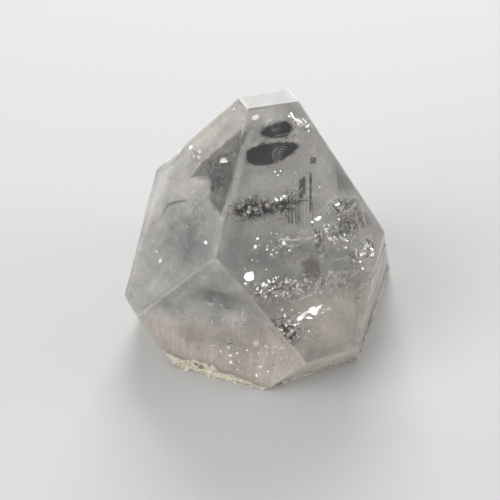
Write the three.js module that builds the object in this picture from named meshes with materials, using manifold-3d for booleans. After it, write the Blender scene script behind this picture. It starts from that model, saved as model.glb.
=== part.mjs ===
// One loose apophyllite crystal, in millimetres, +Z up.
// It is a squat tetragonal point: four prism sides, a steep four-sided pyramid over them, a small blunt
// tip, and two faces of the lower pyramid under the front corners. It stands on the flat where it split
// from its rock. The origin is the middle of that flat, and -Y is the front.
import * as THREE from "three";
import { ConvexGeometry } from "three/addons/geometries/ConvexGeometry.js";
import { mergeVertices } from "three/addons/utils/BufferGeometryUtils.js";
import Module from "manifold-3d";

// Driving dimensions. Each crystal face has the compass direction of its normal in degrees, the angle of
// its normal from the upright axis in degrees, and its distance from the origin in millimetres.
const FACES = {
  tip: { compass: 31, slope: 2.2, distance: 39.8 },
  frontLeft: { compass: 225.5, slope: 61.3, distance: 24.7 },
  frontRight: { compass: 314, slope: 58.5, distance: 22.4 },
  backRight: { compass: 43, slope: 60, distance: 21.4 },
  backLeft: { compass: 135, slope: 60.7, distance: 20.8 },
  front: { compass: 271, slope: 91.2, distance: 18.2 },
  right: { compass: 1.5, slope: 90.2, distance: 17.5 },
  back: { compass: 90.5, slope: 89.6, distance: 18.6 },
  left: { compass: 179.5, slope: 89.5, distance: 17.8 },
  underLeft: { compass: 224, slope: 118.4, distance: 16.3 },
  underRight: { compass: 315.5, slope: 118.7, distance: 14.7 },
  base: { compass: 0, slope: 180, distance: 0 },
};

// Cleavage ledges: the crystal splits in sheets level with its base, and the sheet edges show as long
// shallow steps along a side. Each has its face, its lower and upper height, how deep it goes in, and
// how far it runs to the left and right of the middle of the face.
const LEDGES = [
  { face: "right", low: 0.9, high: 1.5, depth: 0.45, from: -8, to: 19 },
  { face: "right", low: 2.3, high: 2.8, depth: 0.3, from: -9, to: 11 },
  { face: "right", low: 3.7, high: 4.7, depth: 0.4, from: -10, to: 20 },
  { face: "right", low: 6.2, high: 6.8, depth: 0.25, from: -12, to: 15 },
  { face: "right", low: 8.7, high: 10.1, depth: 0.35, from: -14, to: 9 },
  { face: "right", low: 12.2, high: 12.8, depth: 0.3, from: -10, to: 14 },
  { face: "right", low: 15.1, high: 16.4, depth: 0.3, from: -8, to: 6 },
  { face: "underRight", low: 0.8, high: 1.3, depth: 0.5, from: -9, to: 9 },
  { face: "underRight", low: 1.9, high: 2.3, depth: 0.3, from: -7, to: 10 },
  { face: "underRight", low: 3.2, high: 4.1, depth: 0.3, from: -6, to: 11 },
  { face: "underRight", low: 6.2, high: 6.6, depth: 0.25, from: -10, to: 8 },
  { face: "front", low: 0.9, high: 1.3, depth: 0.25, from: -9, to: 4 },
  { face: "left", low: 10.8, high: 12.9, depth: 0.3, from: 2, to: 16 },
  { face: "left", low: 1.8, high: 2.5, depth: 0.35, from: -15, to: 7 },
  { face: "left", low: 5.1, high: 5.5, depth: 0.25, from: -12, to: 12 },
  { face: "back", low: 1.2, high: 1.9, depth: 0.4, from: -13, to: 12 },
  { face: "back", low: 4.3, high: 5.4, depth: 0.3, from: -7, to: 14 },
  { face: "back", low: 9.5, high: 10, depth: 0.25, from: -9, to: 6 },
];

// Growth steps: shallow patches where a pyramid face stopped growing a little early. Each has its face,
// the height of its middle, its place across the face, its half width and half height, and its depth.
const GROWTH_STEPS = [
  { face: "frontLeft", height: 18.6, across: -1, wide: 6.2, tall: 5.4, depth: 0.18 },
  { face: "frontLeft", height: 28.6, across: -8.4, wide: 2.4, tall: 2.6, depth: 0.3 },
  { face: "frontRight", height: 17, across: 5.5, wide: 4.6, tall: 3.8, depth: 0.22 },
  { face: "frontRight", height: 24.5, across: 5.2, wide: 2.6, tall: 3.1, depth: 0.25 },
  { face: "backRight", height: 18.5, across: -3, wide: 7, tall: 5.6, depth: 0.22 },
  { face: "backRight", height: 29, across: 2.2, wide: 3.4, tall: 3, depth: 0.2 },
  { face: "backLeft", height: 22, across: 3.5, wide: 6, tall: 6.4, depth: 0.25 },
  { face: "backLeft", height: 12.5, across: -5, wide: 4, tall: 3.2, depth: 0.2 },
  { face: "front", height: 4.6, across: 3.4, wide: 2.8, tall: 1.6, depth: 0.18 },
];

// Pits in the front prism side, level dashes a little wider than tall, by height and place across.
const FRONT_PITS = [
  { height: 17.3, across: -3.3, wide: 0.55, tall: 0.5 },
  { height: 14.8, across: -3.4, wide: 0.6, tall: 0.3 },
  { height: 15.3, across: -1.9, wide: 0.45, tall: 0.35 },
  { height: 16.1, across: 0.6, wide: 0.35, tall: 0.3 },
  { height: 12.3, across: -1.5, wide: 0.4, tall: 0.25 },
  { height: 7.9, across: 0.1, wide: 0.6, tall: 0.3 },
  { height: 6.1, across: -4.4, wide: 0.5, tall: 0.25 },
];
const PIT_DEPTH = 0.35;

// Chips knocked off the edges, each a small scoop by its centre and radius.
const CHIPS = [
  { at: [-3.6, -9.6, 34.9], radius: 0.7 },
  { at: [-2.9, -11.6, 32.6], radius: 0.55 },
  { at: [-2.6, -15, 28.4], radius: 0.6 },
  { at: [-14.6, -3.4, 29], radius: 0.8 },
  { at: [-18.3, -13.4, 11.6], radius: 0.7 },
  { at: [18.3, -2.2, 21.9], radius: 0.7 },
  { at: [15.7, -1.4, 25.5], radius: 0.6 },
  { at: [8.6, -0.9, 34.2], radius: 0.55 },
  { at: [-5.9, -3.6, 40.4], radius: 0.6 },
  { at: [1.5, 2.2, 40.3], radius: 0.9 },
  { at: [-13, 2.5, 30.1], radius: 0.7 },
  { at: [1, 19.3, 20.3], radius: 0.8 },
  { at: [-18.4, 14.5, 4], radius: 0.8 },
];

// Notches in the broken rim of the base, by place on the flat and radius.
const RIM_NOTCHES = [
  { at: [-5.4, -18.7], radius: 0.75 },
  { at: [3.2, -18.7], radius: 0.85 },
  { at: [15.5, -9.2], radius: 0.7 },
  { at: [-8.7, -17.9], radius: 0.8 },
  { at: [18.3, 3.6], radius: 0.7 },
  { at: [16.9, 18.6], radius: 1.1 },
  { at: [-18, 16.9], radius: 1.2 },
  { at: [-18.4, -6.4], radius: 0.9 },
];
const RIM_HEIGHT = 0.55; // how far up the side the broken rim reaches
const RIM_BITES = 84; // small bites out of the rim, all the way round
const BITE_RADIUS = 0.62;

const LEDGE_STEP = 1.6; // mm between the bends of a ledge's ragged edge
const LEDGE_RAGGED = 0.16; // mm that a ledge's edge wanders
const CLEAR = 2; // how far a cutter stands out of the crystal, mm
const CORNER_TOLERANCE = 1e-4;

// A repeatable stream of numbers from 0 to 1.
function numberStream(seed) {
  let state = seed;
  return () => {
    state = (state * 1664525 + 1013904223) % 4294967296;
    return state / 4294967296;
  };
}

// The face's outward normal, its level direction to the right as seen from outside, and its way up.
function directions(face) {
  const compass = THREE.MathUtils.degToRad(face.compass);
  const slope = THREE.MathUtils.degToRad(face.slope);
  const flat = Math.sin(slope);
  const out = new THREE.Vector3(
    flat * Math.cos(compass),
    flat * Math.sin(compass),
    Math.cos(slope),
  );
  const right = new THREE.Vector3(-Math.sin(compass), Math.cos(compass), 0);
  const up = new THREE.Vector3().crossVectors(out, right);
  return { out, right, up };
}

// The point where three face planes meet, or null where they have none.
function meetingPoint(a, b, c) {
  const [n, m, k] = [a, b, c].map((face) => directions(face).out);
  const spread = n.dot(new THREE.Vector3().crossVectors(m, k));
  if (Math.abs(spread) < 1e-3) return null;
  return new THREE.Vector3()
    .addScaledVector(new THREE.Vector3().crossVectors(m, k), a.distance)
    .addScaledVector(new THREE.Vector3().crossVectors(k, n), b.distance)
    .addScaledVector(new THREE.Vector3().crossVectors(n, m), c.distance)
    .divideScalar(spread);
}

// The corners of the crystal: every meeting of three planes that no other plane cuts off.
function crystalCorners(faces) {
  const corners = [];
  faces.forEach((a, i) =>
    faces.slice(i + 1).forEach((b, j) =>
      faces.slice(i + j + 2).forEach((c) => {
        const point = meetingPoint(a, b, c);
        if (!point) return;
        const inside = faces.every(
          (face) => directions(face).out.dot(point) <= face.distance + CORNER_TOLERANCE,
        );
        if (inside) corners.push(point);
      }),
    ),
  );
  return corners;
}

const wasm = await Module();
wasm.setup();

// A closed geometry as a solid that can be joined and cut.
function solid(geometry) {
  const bare = geometry.clone();
  bare.deleteAttribute("normal");
  bare.deleteAttribute("uv");
  const merged = mergeVertices(bare, 1e-4);
  return new wasm.Manifold(
    new wasm.Mesh({
      numProp: 3,
      vertProperties: merged.attributes.position.array,
      triVerts: new Uint32Array(merged.index.array),
    }),
  );
}

// Lays a flat outline, drawn in a face's own right and up directions, against that face, and gives the
// block that reaches from `depth` inside the face to well outside it.
function blockOnFace(name, outline, depth) {
  const face = FACES[name];
  const { out, right, up } = directions(face);
  const block = new THREE.ExtrudeGeometry(new THREE.Shape(outline), {
    depth: depth + CLEAR,
    bevelEnabled: false,
  });
  block.translate(0, 0, -depth);
  const place = new THREE.Matrix4().makeBasis(right, up, out);
  place.setPosition(out.clone().multiplyScalar(face.distance));
  return solid(block.applyMatrix4(place));
}

// How far up a face's own slope a given height lies.
function upSlope(name, height) {
  const slope = THREE.MathUtils.degToRad(FACES[name].slope);
  return (height - FACES[name].distance * Math.cos(slope)) / Math.sin(slope);
}

// A long strip with ragged long edges and pointed ends.
function ledgeCutter({ face, low, high, depth, from, to }, seed) {
  const next = numberStream(seed);
  const bends = Math.round((to - from) / LEDGE_STEP);
  const bottom = upSlope(face, low);
  const top = upSlope(face, high);
  const middle = (bottom + top) / 2;
  const edge = (level, sign) =>
    Array.from({ length: bends - 1 }, (_, k) => {
      const across = from + ((k + 1) * (to - from)) / bends;
      return new THREE.Vector2(across, level + sign * LEDGE_RAGGED * next());
    });
  const outline = [
    new THREE.Vector2(from, middle),
    ...edge(bottom, -1),
    new THREE.Vector2(to, middle),
    ...edge(top, 1).reverse(),
  ];
  return blockOnFace(face, outline, depth);
}

// A six-to-nine-sided patch like the outline of a growth layer.
function growthCutter({ face, height, across, wide, tall, depth }, seed) {
  const next = numberStream(seed);
  const sides = 6 + Math.floor(next() * 4);
  const middle = upSlope(face, height);
  const outline = Array.from({ length: sides }, (_, k) => {
    const turn = ((k + 0.6 * next()) / sides) * 2 * Math.PI;
    const reach = 0.82 + 0.3 * next();
    return new THREE.Vector2(
      across + wide * reach * Math.cos(turn),
      middle + tall * reach * Math.sin(turn),
    );
  });
  return blockOnFace(face, outline, depth);
}

function pitCutter({ height, across, wide, tall }) {
  const middle = upSlope("front", height);
  const outline = [
    new THREE.Vector2(across - wide, middle),
    new THREE.Vector2(across - wide * 0.4, middle - tall),
    new THREE.Vector2(across + wide * 0.8, middle - tall * 0.6),
    new THREE.Vector2(across + wide, middle + tall * 0.5),
    new THREE.Vector2(across - wide * 0.2, middle + tall),
  ];
  return blockOnFace("front", outline, PIT_DEPTH);
}

// An uneven lump, used to scoop a chip out of an edge.
function lump(radius, detail, seed) {
  const next = numberStream(seed);
  const shape = new THREE.IcosahedronGeometry(radius, detail);
  shape.rotateX(next() * Math.PI);
  shape.rotateY(next() * Math.PI);
  shape.scale(0.8 + 0.5 * next(), 0.8 + 0.5 * next(), 0.7 + 0.4 * next());
  return shape;
}

function chipCutter({ at, radius }, seed) {
  return solid(lump(radius, 1, seed).translate(...at));
}

function notchCutter({ at, radius }, seed) {
  const shape = lump(radius, 1, seed).scale(1, 1, 1.1);
  return solid(shape.translate(at[0], at[1], RIM_HEIGHT / 2));
}

// The corners of the base flat in order, going round from above.
function baseOutline(corners) {
  return corners
    .filter((corner) => Math.abs(corner.z) < CORNER_TOLERANCE)
    .sort((a, b) => Math.atan2(a.y, a.x) - Math.atan2(b.y, b.x));
}

// Small bites at uneven steps along the rim of the base.
function rimBites(corners) {
  const outline = baseOutline(corners);
  const next = numberStream(7);
  const lengths = outline.map((corner, k) =>
    corner.distanceTo(outline[(k + 1) % outline.length]),
  );
  const around = lengths.reduce((sum, length) => sum + length, 0);
  const bites = [];
  for (let bite = 0; bite < RIM_BITES; bite += 1) {
    let along = ((bite + 0.7 * next()) / RIM_BITES) * around;
    let side = 0;
    while (along > lengths[side]) {
      along -= lengths[side];
      side += 1;
    }
    const start = outline[side];
    const end = outline[(side + 1) % outline.length];
    const point = start.clone().lerp(end, along / lengths[side]);
    const outward = new THREE.Vector3(end.y - start.y, start.x - end.x, 0).normalize();
    const radius = BITE_RADIUS * (0.6 + 0.7 * next());
    point.addScaledVector(outward, radius * (0.35 + 0.4 * next()));
    point.z = RIM_HEIGHT * (next() - 0.35);
    bites.push(solid(lump(radius, 0, 100 + bite).translate(point.x, point.y, point.z)));
  }
  return bites;
}

function crystalGeometry() {
  const corners = crystalCorners(Object.values(FACES));
  const cutters = [
    ...LEDGES.map((ledge, k) => ledgeCutter(ledge, 11 + k)),
    ...GROWTH_STEPS.map((step, k) => growthCutter(step, 41 + k)),
    ...FRONT_PITS.map(pitCutter),
    ...CHIPS.map((chip, k) => chipCutter(chip, 61 + k)),
    ...RIM_NOTCHES.map((notch, k) => notchCutter(notch, 81 + k)),
    ...rimBites(corners),
  ];
  const cut = cutters.reduce(
    (body, cutter) => body.subtract(cutter),
    solid(new ConvexGeometry(corners)),
  );
  const { vertProperties, triVerts } = cut.getMesh();
  const geometry = new THREE.BufferGeometry();
  geometry.setAttribute("position", new THREE.BufferAttribute(vertProperties, 3));
  geometry.setIndex(new THREE.BufferAttribute(triVerts, 1));
  geometry.computeVertexNormals();
  return geometry;
}

const crystal = new THREE.Mesh(
  crystalGeometry(),
  new THREE.MeshStandardMaterial({
    color: "#b9b6b3",
    roughness: 0.2,
    metalness: 0,
    transparent: true,
    opacity: 0.7,
    flatShading: true,
  }),
);
crystal.name = "apophyllite_crystal";

const part = new THREE.Group();
part.name = "apophyllite_point";
part.add(crystal);

export default part;
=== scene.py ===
# %% [markdown]
# # An apophyllite point, from flat faces to milky glass
#
# This lesson dresses one loose crystal. The real thing is a squat four-sided point that split from its
# rock along a level cleavage and now stands on that break. It is clear in a few windows, milky elsewhere,
# finely grooved on its front side, and full of small healed cracks that glint. The frame that is loaded
# first holds the crystal as a plain solid of the right size, and everything made here stays inside it.

# %% Load the frame
import math

import bmesh
import bpy
import numpy as np
from mathutils import Matrix, Vector


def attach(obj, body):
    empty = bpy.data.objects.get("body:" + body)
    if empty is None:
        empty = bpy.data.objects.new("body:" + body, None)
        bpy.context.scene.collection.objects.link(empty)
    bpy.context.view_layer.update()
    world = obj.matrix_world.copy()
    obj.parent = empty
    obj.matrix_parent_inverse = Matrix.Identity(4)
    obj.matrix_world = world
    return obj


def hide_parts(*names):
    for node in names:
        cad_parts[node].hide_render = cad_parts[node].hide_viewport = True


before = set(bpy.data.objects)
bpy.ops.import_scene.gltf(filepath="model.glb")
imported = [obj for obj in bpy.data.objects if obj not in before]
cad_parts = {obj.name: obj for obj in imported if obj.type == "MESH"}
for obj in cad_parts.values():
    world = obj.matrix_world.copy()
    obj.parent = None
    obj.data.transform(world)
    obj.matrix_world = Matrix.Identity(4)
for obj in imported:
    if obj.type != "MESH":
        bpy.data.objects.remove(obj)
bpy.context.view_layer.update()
MM = 0.001  # everything below is thought out in millimetres and put into the meshes in metres

# %% [markdown]
# ## The camera
#
# A crystal is a ruler of its own: the pyramid faces of this mineral always lean the same way. The place
# of the camera was worked out from the corners of the faces, so the view is set by three plain facts:
# where the camera stands, what it looks at, and how far it is rolled. Writing the camera first means that
# every later look at the crystal is taken from the right place.

# %% Place the camera
CAMERA_AT = (36.2, -141.2, 126.2)
CAMERA_AIM = (-1.27, -5.94, 16.0)
CAMERA_ROLL = 4.38  # degrees
CAMERA_LENS = 85.5  # mm, on a sensor 36 mm wide


def place_camera():
    """Looks along the line from place to aim, then turns about that line by the roll."""
    camera_data = bpy.data.cameras.new("camera")
    camera_data.lens = CAMERA_LENS
    camera_data.sensor_width = 36
    camera_data.clip_start = 0.01
    camera = bpy.data.objects.new("camera", camera_data)
    bpy.context.collection.objects.link(camera)
    sight = Vector(CAMERA_AIM) - Vector(CAMERA_AT)
    turn = sight.to_track_quat("-Z", "Y").to_matrix().to_4x4()
    roll = Matrix.Rotation(math.radians(CAMERA_ROLL), 4, "Z")
    camera.matrix_world = Matrix.Translation(Vector(CAMERA_AT) * MM) @ turn @ roll
    bpy.context.scene.camera = camera


place_camera()
print("camera stands", round((Vector(CAMERA_AT) - Vector(CAMERA_AIM)).length), "mm from its aim")

# %% [markdown]
# ## The faces
#
# Each flat face is known by the compass direction and slope of its normal and by its distance from the
# middle of the base, the same three numbers that a crystallographer would give. Ten of them go round the
# crystal, and the tip and the base close it.

# %% Name the faces
FACES = {
    "front": (271.0, 91.2, 18.2),
    "front_right": (314.0, 58.5, 22.4),
    "under_right": (315.5, 118.7, 14.7),
    "right": (361.5, 90.2, 17.5),
    "back_right": (403.0, 60.0, 21.4),
    "back": (450.5, 89.6, 18.6),
    "back_left": (495.0, 60.7, 20.8),
    "left": (539.5, 89.5, 17.8),
    "under_left": (584.0, 118.4, 16.3),
    "front_left": (585.5, 61.3, 24.7),
}
TIP = (31.0, 2.2, 39.8)


def directions(face):
    """A face's outward normal, its level direction to the right as seen from outside, and its way up."""
    compass, slope = np.radians(face[:2])
    out = np.array([np.sin(slope) * np.cos(compass), np.sin(slope) * np.sin(compass), np.cos(slope)])
    right = np.array([-np.sin(compass), np.cos(compass), 0.0])
    return out, right, np.cross(out, right)


def on_face(face, points):
    """How far points lie across a face to the right and up its slope, and how deep under it, in mm."""
    out, right, up = directions(face)
    return points @ right, points @ up, face[2] - points @ out


def up_slope(face, height):
    """Where a height lies on a face's own way up: height = distance * cos(slope) + way * sin(slope)."""
    slope = math.radians(face[1])
    return (height - face[2] * math.cos(slope)) / math.sin(slope)


print(len(FACES), "faces go round the crystal")

# %% [markdown]
# ## The skin of the crystal
#
# A crystal could be made by cutting a block with planes, but the cuts leave long thin triangles that take
# no fine relief. Here the skin is a grid instead. One parameter goes up: each row is the outline that a
# nearly level plane cuts out of the ten faces. The other goes round: each face gets a fixed number of
# columns, and a face that has no width at some height gets all its columns in one point. So every edge
# and corner of the crystal is exact, and the grid between them is fine and even.

# %% Cut the crystal at many heights
COLUMNS = {
    "front": 104, "front_right": 96, "under_right": 40, "right": 60, "back_right": 60,
    "back": 44, "back_left": 60, "left": 52, "under_left": 26, "front_left": 92,
}
ROW_STEP = 0.24
FINE_STEP = 0.13  # near the broken rim
FINE_UP_TO = 1.7
LEAN_FROM = 38.6  # the cuts start to lean here, so that the last one lies in the tip face
CORNER_HEIGHTS = (8.10, 8.29, 8.77, 8.89, 21.59, 23.75, 24.65)


def cut_heights():
    """Even steps in height, finer near the base, with the crystal's own corner heights put in."""
    out, _, _ = directions(TIP)
    top = TIP[2] / out[2]
    fine = np.arange(0, FINE_UP_TO, FINE_STEP)
    even = np.linspace(FINE_UP_TO, top, round((top - FINE_UP_TO) / ROW_STEP))
    rows = np.concatenate([fine, even])
    corners = np.array(CORNER_HEIGHTS)
    nearest = np.abs(rows[:, None] - corners[None]).argmin(0)
    rows[nearest] = corners
    return np.sort(rows)


def cut_outlines(heights):
    """The start and end of every face's stretch of outline, at each height.

    The cut at height h is the plane z = h + a x + b y, where a and b grow from nothing to the tip face's own
    lean. In it each face is a line, and its stretch is the part of the line inside all the others. A face
    with no stretch gets the outline's corner that lies furthest out in its direction."""
    faces = list(FACES.values())
    out = np.array([directions(face)[0] for face in faces])
    reach = np.array([face[2] for face in faces])
    tip = directions(TIP)[0]
    lean = np.clip((heights - LEAN_FROM) / (heights[-1] - LEAN_FROM), 0, 1)
    lean_x = -lean * tip[0] / tip[2]
    lean_y = -lean * tip[1] / tip[2]
    line = np.stack([out[:, 0] + np.outer(lean_x, out[:, 2]), out[:, 1] + np.outer(lean_y, out[:, 2])], -1)
    length = np.linalg.norm(line, axis=-1, keepdims=True)
    line = line / length
    away = (reach[None] - np.outer(heights, out[:, 2])) / length[..., 0]
    along = np.stack([-line[..., 1], line[..., 0]], -1)
    foot = line * away[..., None]
    across = np.einsum("rkc,rjc->rkj", along, line)
    room = away[:, None, :] - np.einsum("rkc,rjc->rkj", foot, line)
    with np.errstate(divide="ignore", invalid="ignore"):
        meets = room / across
    high = np.where(across > 1e-9, meets, np.inf).min(-1)
    low = np.where(across < -1e-9, meets, -np.inf).max(-1)
    shown = high > low
    start = foot + along * low[..., None]
    end = foot + along * high[..., None]
    far = np.einsum("rkc,rjc->rkj", line, np.where(shown[..., None], start, 0))
    far = np.where(shown[:, None, :], far, -np.inf)
    corner = np.take_along_axis(start, far.argmax(-1)[..., None], 1)
    start = np.where(shown[..., None], start, corner)
    end = np.where(shown[..., None], end, corner)
    return start, end, lean_x, lean_y


def side_grid():
    """Rows of points round the crystal, from the base to the rim of the tip."""
    heights = cut_heights()
    start, end, lean_x, lean_y = cut_outlines(heights)
    stretches = []
    for index, name in enumerate(FACES):
        share = (np.arange(COLUMNS[name]) / COLUMNS[name])[None, :, None]
        stretches.append(start[:, index, None] * (1 - share) + end[:, index, None] * share)
    flat = np.concatenate(stretches, 1)
    z = heights[:, None] + lean_x[:, None] * flat[..., 0] + lean_y[:, None] * flat[..., 1]
    return np.concatenate([flat, z[..., None]], -1)


sides = side_grid()
print("side grid:", sides.shape[0], "rows of", sides.shape[1], "columns")

# %% [markdown]
# The tip and the base are closed with shrinking copies of the outline, down to one point in the middle. The
# rings are closer together near the edge of the base, because the broken rim needs them there.

# %% Close the tip and the base
TIP_RINGS = 10
BASE_RINGS = np.array([0, 0.3, 0.55, 0.75, 0.85, 0.91, 0.94, 0.96, 0.973, 0.984, 0.992])


def closed_grid(rows):
    """Adds rings at both ends: each is the middle + share * (outline - middle)."""
    base_middle = rows[0].mean(0)
    tip_middle = rows[-1].mean(0)
    tip_share = np.linspace(1, 0, TIP_RINGS + 1)[1:]
    base = base_middle + BASE_RINGS[:, None, None] * (rows[0] - base_middle)[None]
    tip = tip_middle + tip_share[:, None, None] * (rows[-1] - tip_middle)[None]
    return np.concatenate([base, rows, tip], 0)


skin = closed_grid(sides)
print("closed grid:", skin.shape[0], "rows")

# %% [markdown]
# ## Relief
#
# From a step away the faces look flat, and up close they are not. Growth left low steps and faint swells,
# cleavage left ledges level with the base, the front side is grooved upright and pitted, and handling took
# chips out of the edges. Every bit of relief is a depth under one face, worked out from a point's place on
# that face alone, and it moves the point straight in. A point on an edge belongs to both faces and moves by
# both, so nothing tears.

# %% Helpers for relief
def number_stream(seed):
    """The same repeatable numbers from 0 to 1 that the solid's cuts were drawn with."""
    state = seed
    while True:
        state = (state * 1664525 + 1013904223) % 4294967296
        yield state / 4294967296


def swells(points, size, seed, waves=14):
    """A smooth wandering value of about -1 to 1: a sum of sine waves of one size in random directions."""
    rng = np.random.default_rng(seed)
    ways = rng.normal(size=(waves, points.shape[-1]))
    ways /= np.linalg.norm(ways, axis=1, keepdims=True)
    pace = 2 * np.pi / (size * rng.uniform(0.7, 1.5, waves))
    shift = rng.uniform(0, 6.28, waves)
    return np.sin(points @ (ways * pace[:, None]).T + shift).sum(-1) / math.sqrt(waves)


def soft_step(value, low, high):
    """0 below low, 1 above high, and a smooth S between."""
    share = np.clip((value - low) / (high - low), 0, 1)
    return share * share * (3 - 2 * share)


def inside_outline(across, up, outline):
    """How far points lie inside an outline with no dents, in mm: the least distance to its sides."""
    corners = np.array(outline)
    sides_of = np.roll(corners, -1, 0) - corners
    inward = np.stack([-sides_of[:, 1], sides_of[:, 0]], -1)
    inward /= np.linalg.norm(inward, axis=1, keepdims=True)
    return np.min([(across - c[0]) * n[0] + (up - c[1]) * n[1] for c, n in zip(corners, inward)], 0)


def rows_of(table, name):
    """The rows of a table that begin with a face's name, without that name."""
    return [row[1:] for row in table if row[0] == name]


# %% Growth steps, ledges, pits and grooves
EDGE_WIDTH = 0.12  # mm over which a step falls
LEDGES = [  # face, low and high height, depth, from and to across the face
    ("right", 0.9, 1.5, 0.45, -8, 19), ("right", 2.3, 2.8, 0.3, -9, 11),
    ("right", 3.7, 4.7, 0.4, -10, 20), ("right", 6.2, 6.8, 0.25, -12, 15),
    ("right", 8.7, 10.1, 0.35, -14, 9), ("right", 12.2, 12.8, 0.3, -10, 14),
    ("right", 15.1, 16.4, 0.3, -8, 6), ("under_right", 0.8, 1.3, 0.5, -9, 9),
    ("under_right", 1.9, 2.3, 0.3, -7, 10), ("under_right", 3.2, 4.1, 0.3, -6, 11),
    ("under_right", 6.2, 6.6, 0.25, -10, 8), ("front", 0.9, 1.3, 0.25, -9, 4),
    ("left", 10.8, 12.9, 0.3, 2, 16), ("left", 1.8, 2.5, 0.35, -15, 7), ("left", 5.1, 5.5, 0.25, -12, 12),
    ("back", 1.2, 1.9, 0.4, -13, 12), ("back", 4.3, 5.4, 0.3, -7, 14), ("back", 9.5, 10.0, 0.25, -9, 6),
]
GROWTH_STEPS = [  # face, height of the middle, across, half width, half height, depth
    ("front_left", 18.6, -1, 6.2, 5.4, 0.18), ("front_left", 28.6, -8.4, 2.4, 2.6, 0.3),
    ("front_right", 17, 5.5, 4.6, 3.8, 0.22), ("front_right", 24.5, 5.2, 2.6, 3.1, 0.25),
    ("back_right", 18.5, -3, 7, 5.6, 0.22), ("back_right", 29, 2.2, 3.4, 3, 0.2),
    ("back_left", 22, 3.5, 6, 6.4, 0.25), ("back_left", 12.5, -5, 4, 3.2, 0.2),
    ("front", 4.6, 3.4, 2.8, 1.6, 0.18),
]
FRONT_PITS = [  # height, across, half width, half height
    (17.3, -3.3, 0.55, 0.5), (14.8, -3.4, 0.6, 0.3), (15.3, -1.9, 0.45, 0.35), (16.1, 0.6, 0.35, 0.3),
    (12.3, -1.5, 0.4, 0.25), (7.9, 0.1, 0.6, 0.3), (6.1, -4.4, 0.5, 0.25),
]
PIT_DEPTH = 0.3


def ledge_depth(points, face, low, high, depth, start, end):
    """Depth inside a strip whose long edges wander and whose ends taper."""
    across, up, _ = on_face(FACES[face], points)
    bottom = up_slope(FACES[face], low)
    top = up_slope(FACES[face], high)
    wander = 0.12 * swells(np.stack([across, up * 0 + low], -1), 3.2, int(low * 10) + 3)
    inside = np.minimum(up - bottom - wander, top + 0.6 * wander - up)
    taper = soft_step(np.minimum(across - start, end - across), 0, 1.8)
    return depth * taper * soft_step(inside, -EDGE_WIDTH, EDGE_WIDTH)


def growth_depth(points, face, height, across, wide, tall, depth, seed):
    """Depth inside an uneven many-sided patch: its corners stand at 0.82 to 1.12 of an oval's radius."""
    draw = number_stream(seed)
    count = 6 + int(next(draw) * 4)
    middle = up_slope(FACES[face], height)
    outline = []
    for side in range(count):
        turn = (side + 0.6 * next(draw)) / count * 2 * math.pi
        reach = 0.82 + 0.3 * next(draw)
        outline.append((across + wide * reach * math.cos(turn), middle + tall * reach * math.sin(turn)))
    place, up, _ = on_face(FACES[face], points)
    return depth * soft_step(inside_outline(place, up, outline), -EDGE_WIDTH, EDGE_WIDTH)


def pit_depth(points, height, across, wide, tall):
    """A level dash: depth falls off from the middle of an oval with steep sides."""
    place, up, _ = on_face(FACES["front"], points)
    middle = up_slope(FACES["front"], height)
    oval = np.hypot((place - across) / wide, (up - middle) / tall)
    return PIT_DEPTH * (1 - soft_step(oval, 0.55, 1.1))


def groove_depth(points):
    """Upright grooves on the front side: waves across it that fade in and out slowly up it."""
    across, up, _ = on_face(FACES["front"], points)
    fine = swells(np.stack([across, up * 0.03], -1), 0.9, 5)
    broad = swells(np.stack([across, up * 0.06], -1), 2.6, 6)
    return 0.02 * (1 + fine) * (0.6 + 0.4 * broad) + 0.02 * (1 + broad)


def swell_depth(points, face, seed):
    """Faint swells, a few hundredths of a millimetre deep, and low growth hills on the pyramid faces."""
    across, up, _ = on_face(FACES[face], points)
    place = np.stack([across, up], -1)
    return 0.022 * (1 + swells(place, 6.5, seed)) + 0.008 * (1 + swells(place, 2.1, seed + 50))


print(len(LEDGES), "ledges,", len(GROWTH_STEPS), "growth steps,", len(FRONT_PITS), "pits")

# %% Move the skin in by its relief
ON_FACE_WITHIN = 0.03  # mm: a point this close to a face's plane belongs to it


def face_depths(points):
    """The depth of the relief under every face, at every point, in the order of FACES."""
    depths = []
    for index, name in enumerate(FACES):
        depth = swell_depth(points, name, 20 + index)
        for ledge in rows_of(LEDGES, name):
            depth = np.maximum(depth, ledge_depth(points, name, *ledge))
        for order, step in enumerate(GROWTH_STEPS):
            if step[0] == name:
                depth = depth + growth_depth(points, *step, 41 + order)
        if name == "front":
            depth = depth + groove_depth(points)
            for pit in FRONT_PITS:
                depth = np.maximum(depth, pit_depth(points, *pit))
        depths.append(depth)
    return depths


def add_relief(points):
    """Each point moves in by each face's depth times how surely it lies on that face."""
    moved = points.copy()
    for face, depth in zip(FACES.values(), face_depths(points)):
        out, _, _ = directions(face)
        _, _, under = on_face(face, points)
        belongs = 1 - soft_step(under, 0, ON_FACE_WITHIN)
        moved -= (belongs * depth)[:, None] * out[None]
    return moved


# %% [markdown]
# Chips and the notches in the rim are scoops. A scoop is a ball whose middle is just outside an edge: the
# points inside it are pushed out to its surface, which is what a shell-shaped break in glass or crystal
# looks like.

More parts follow.
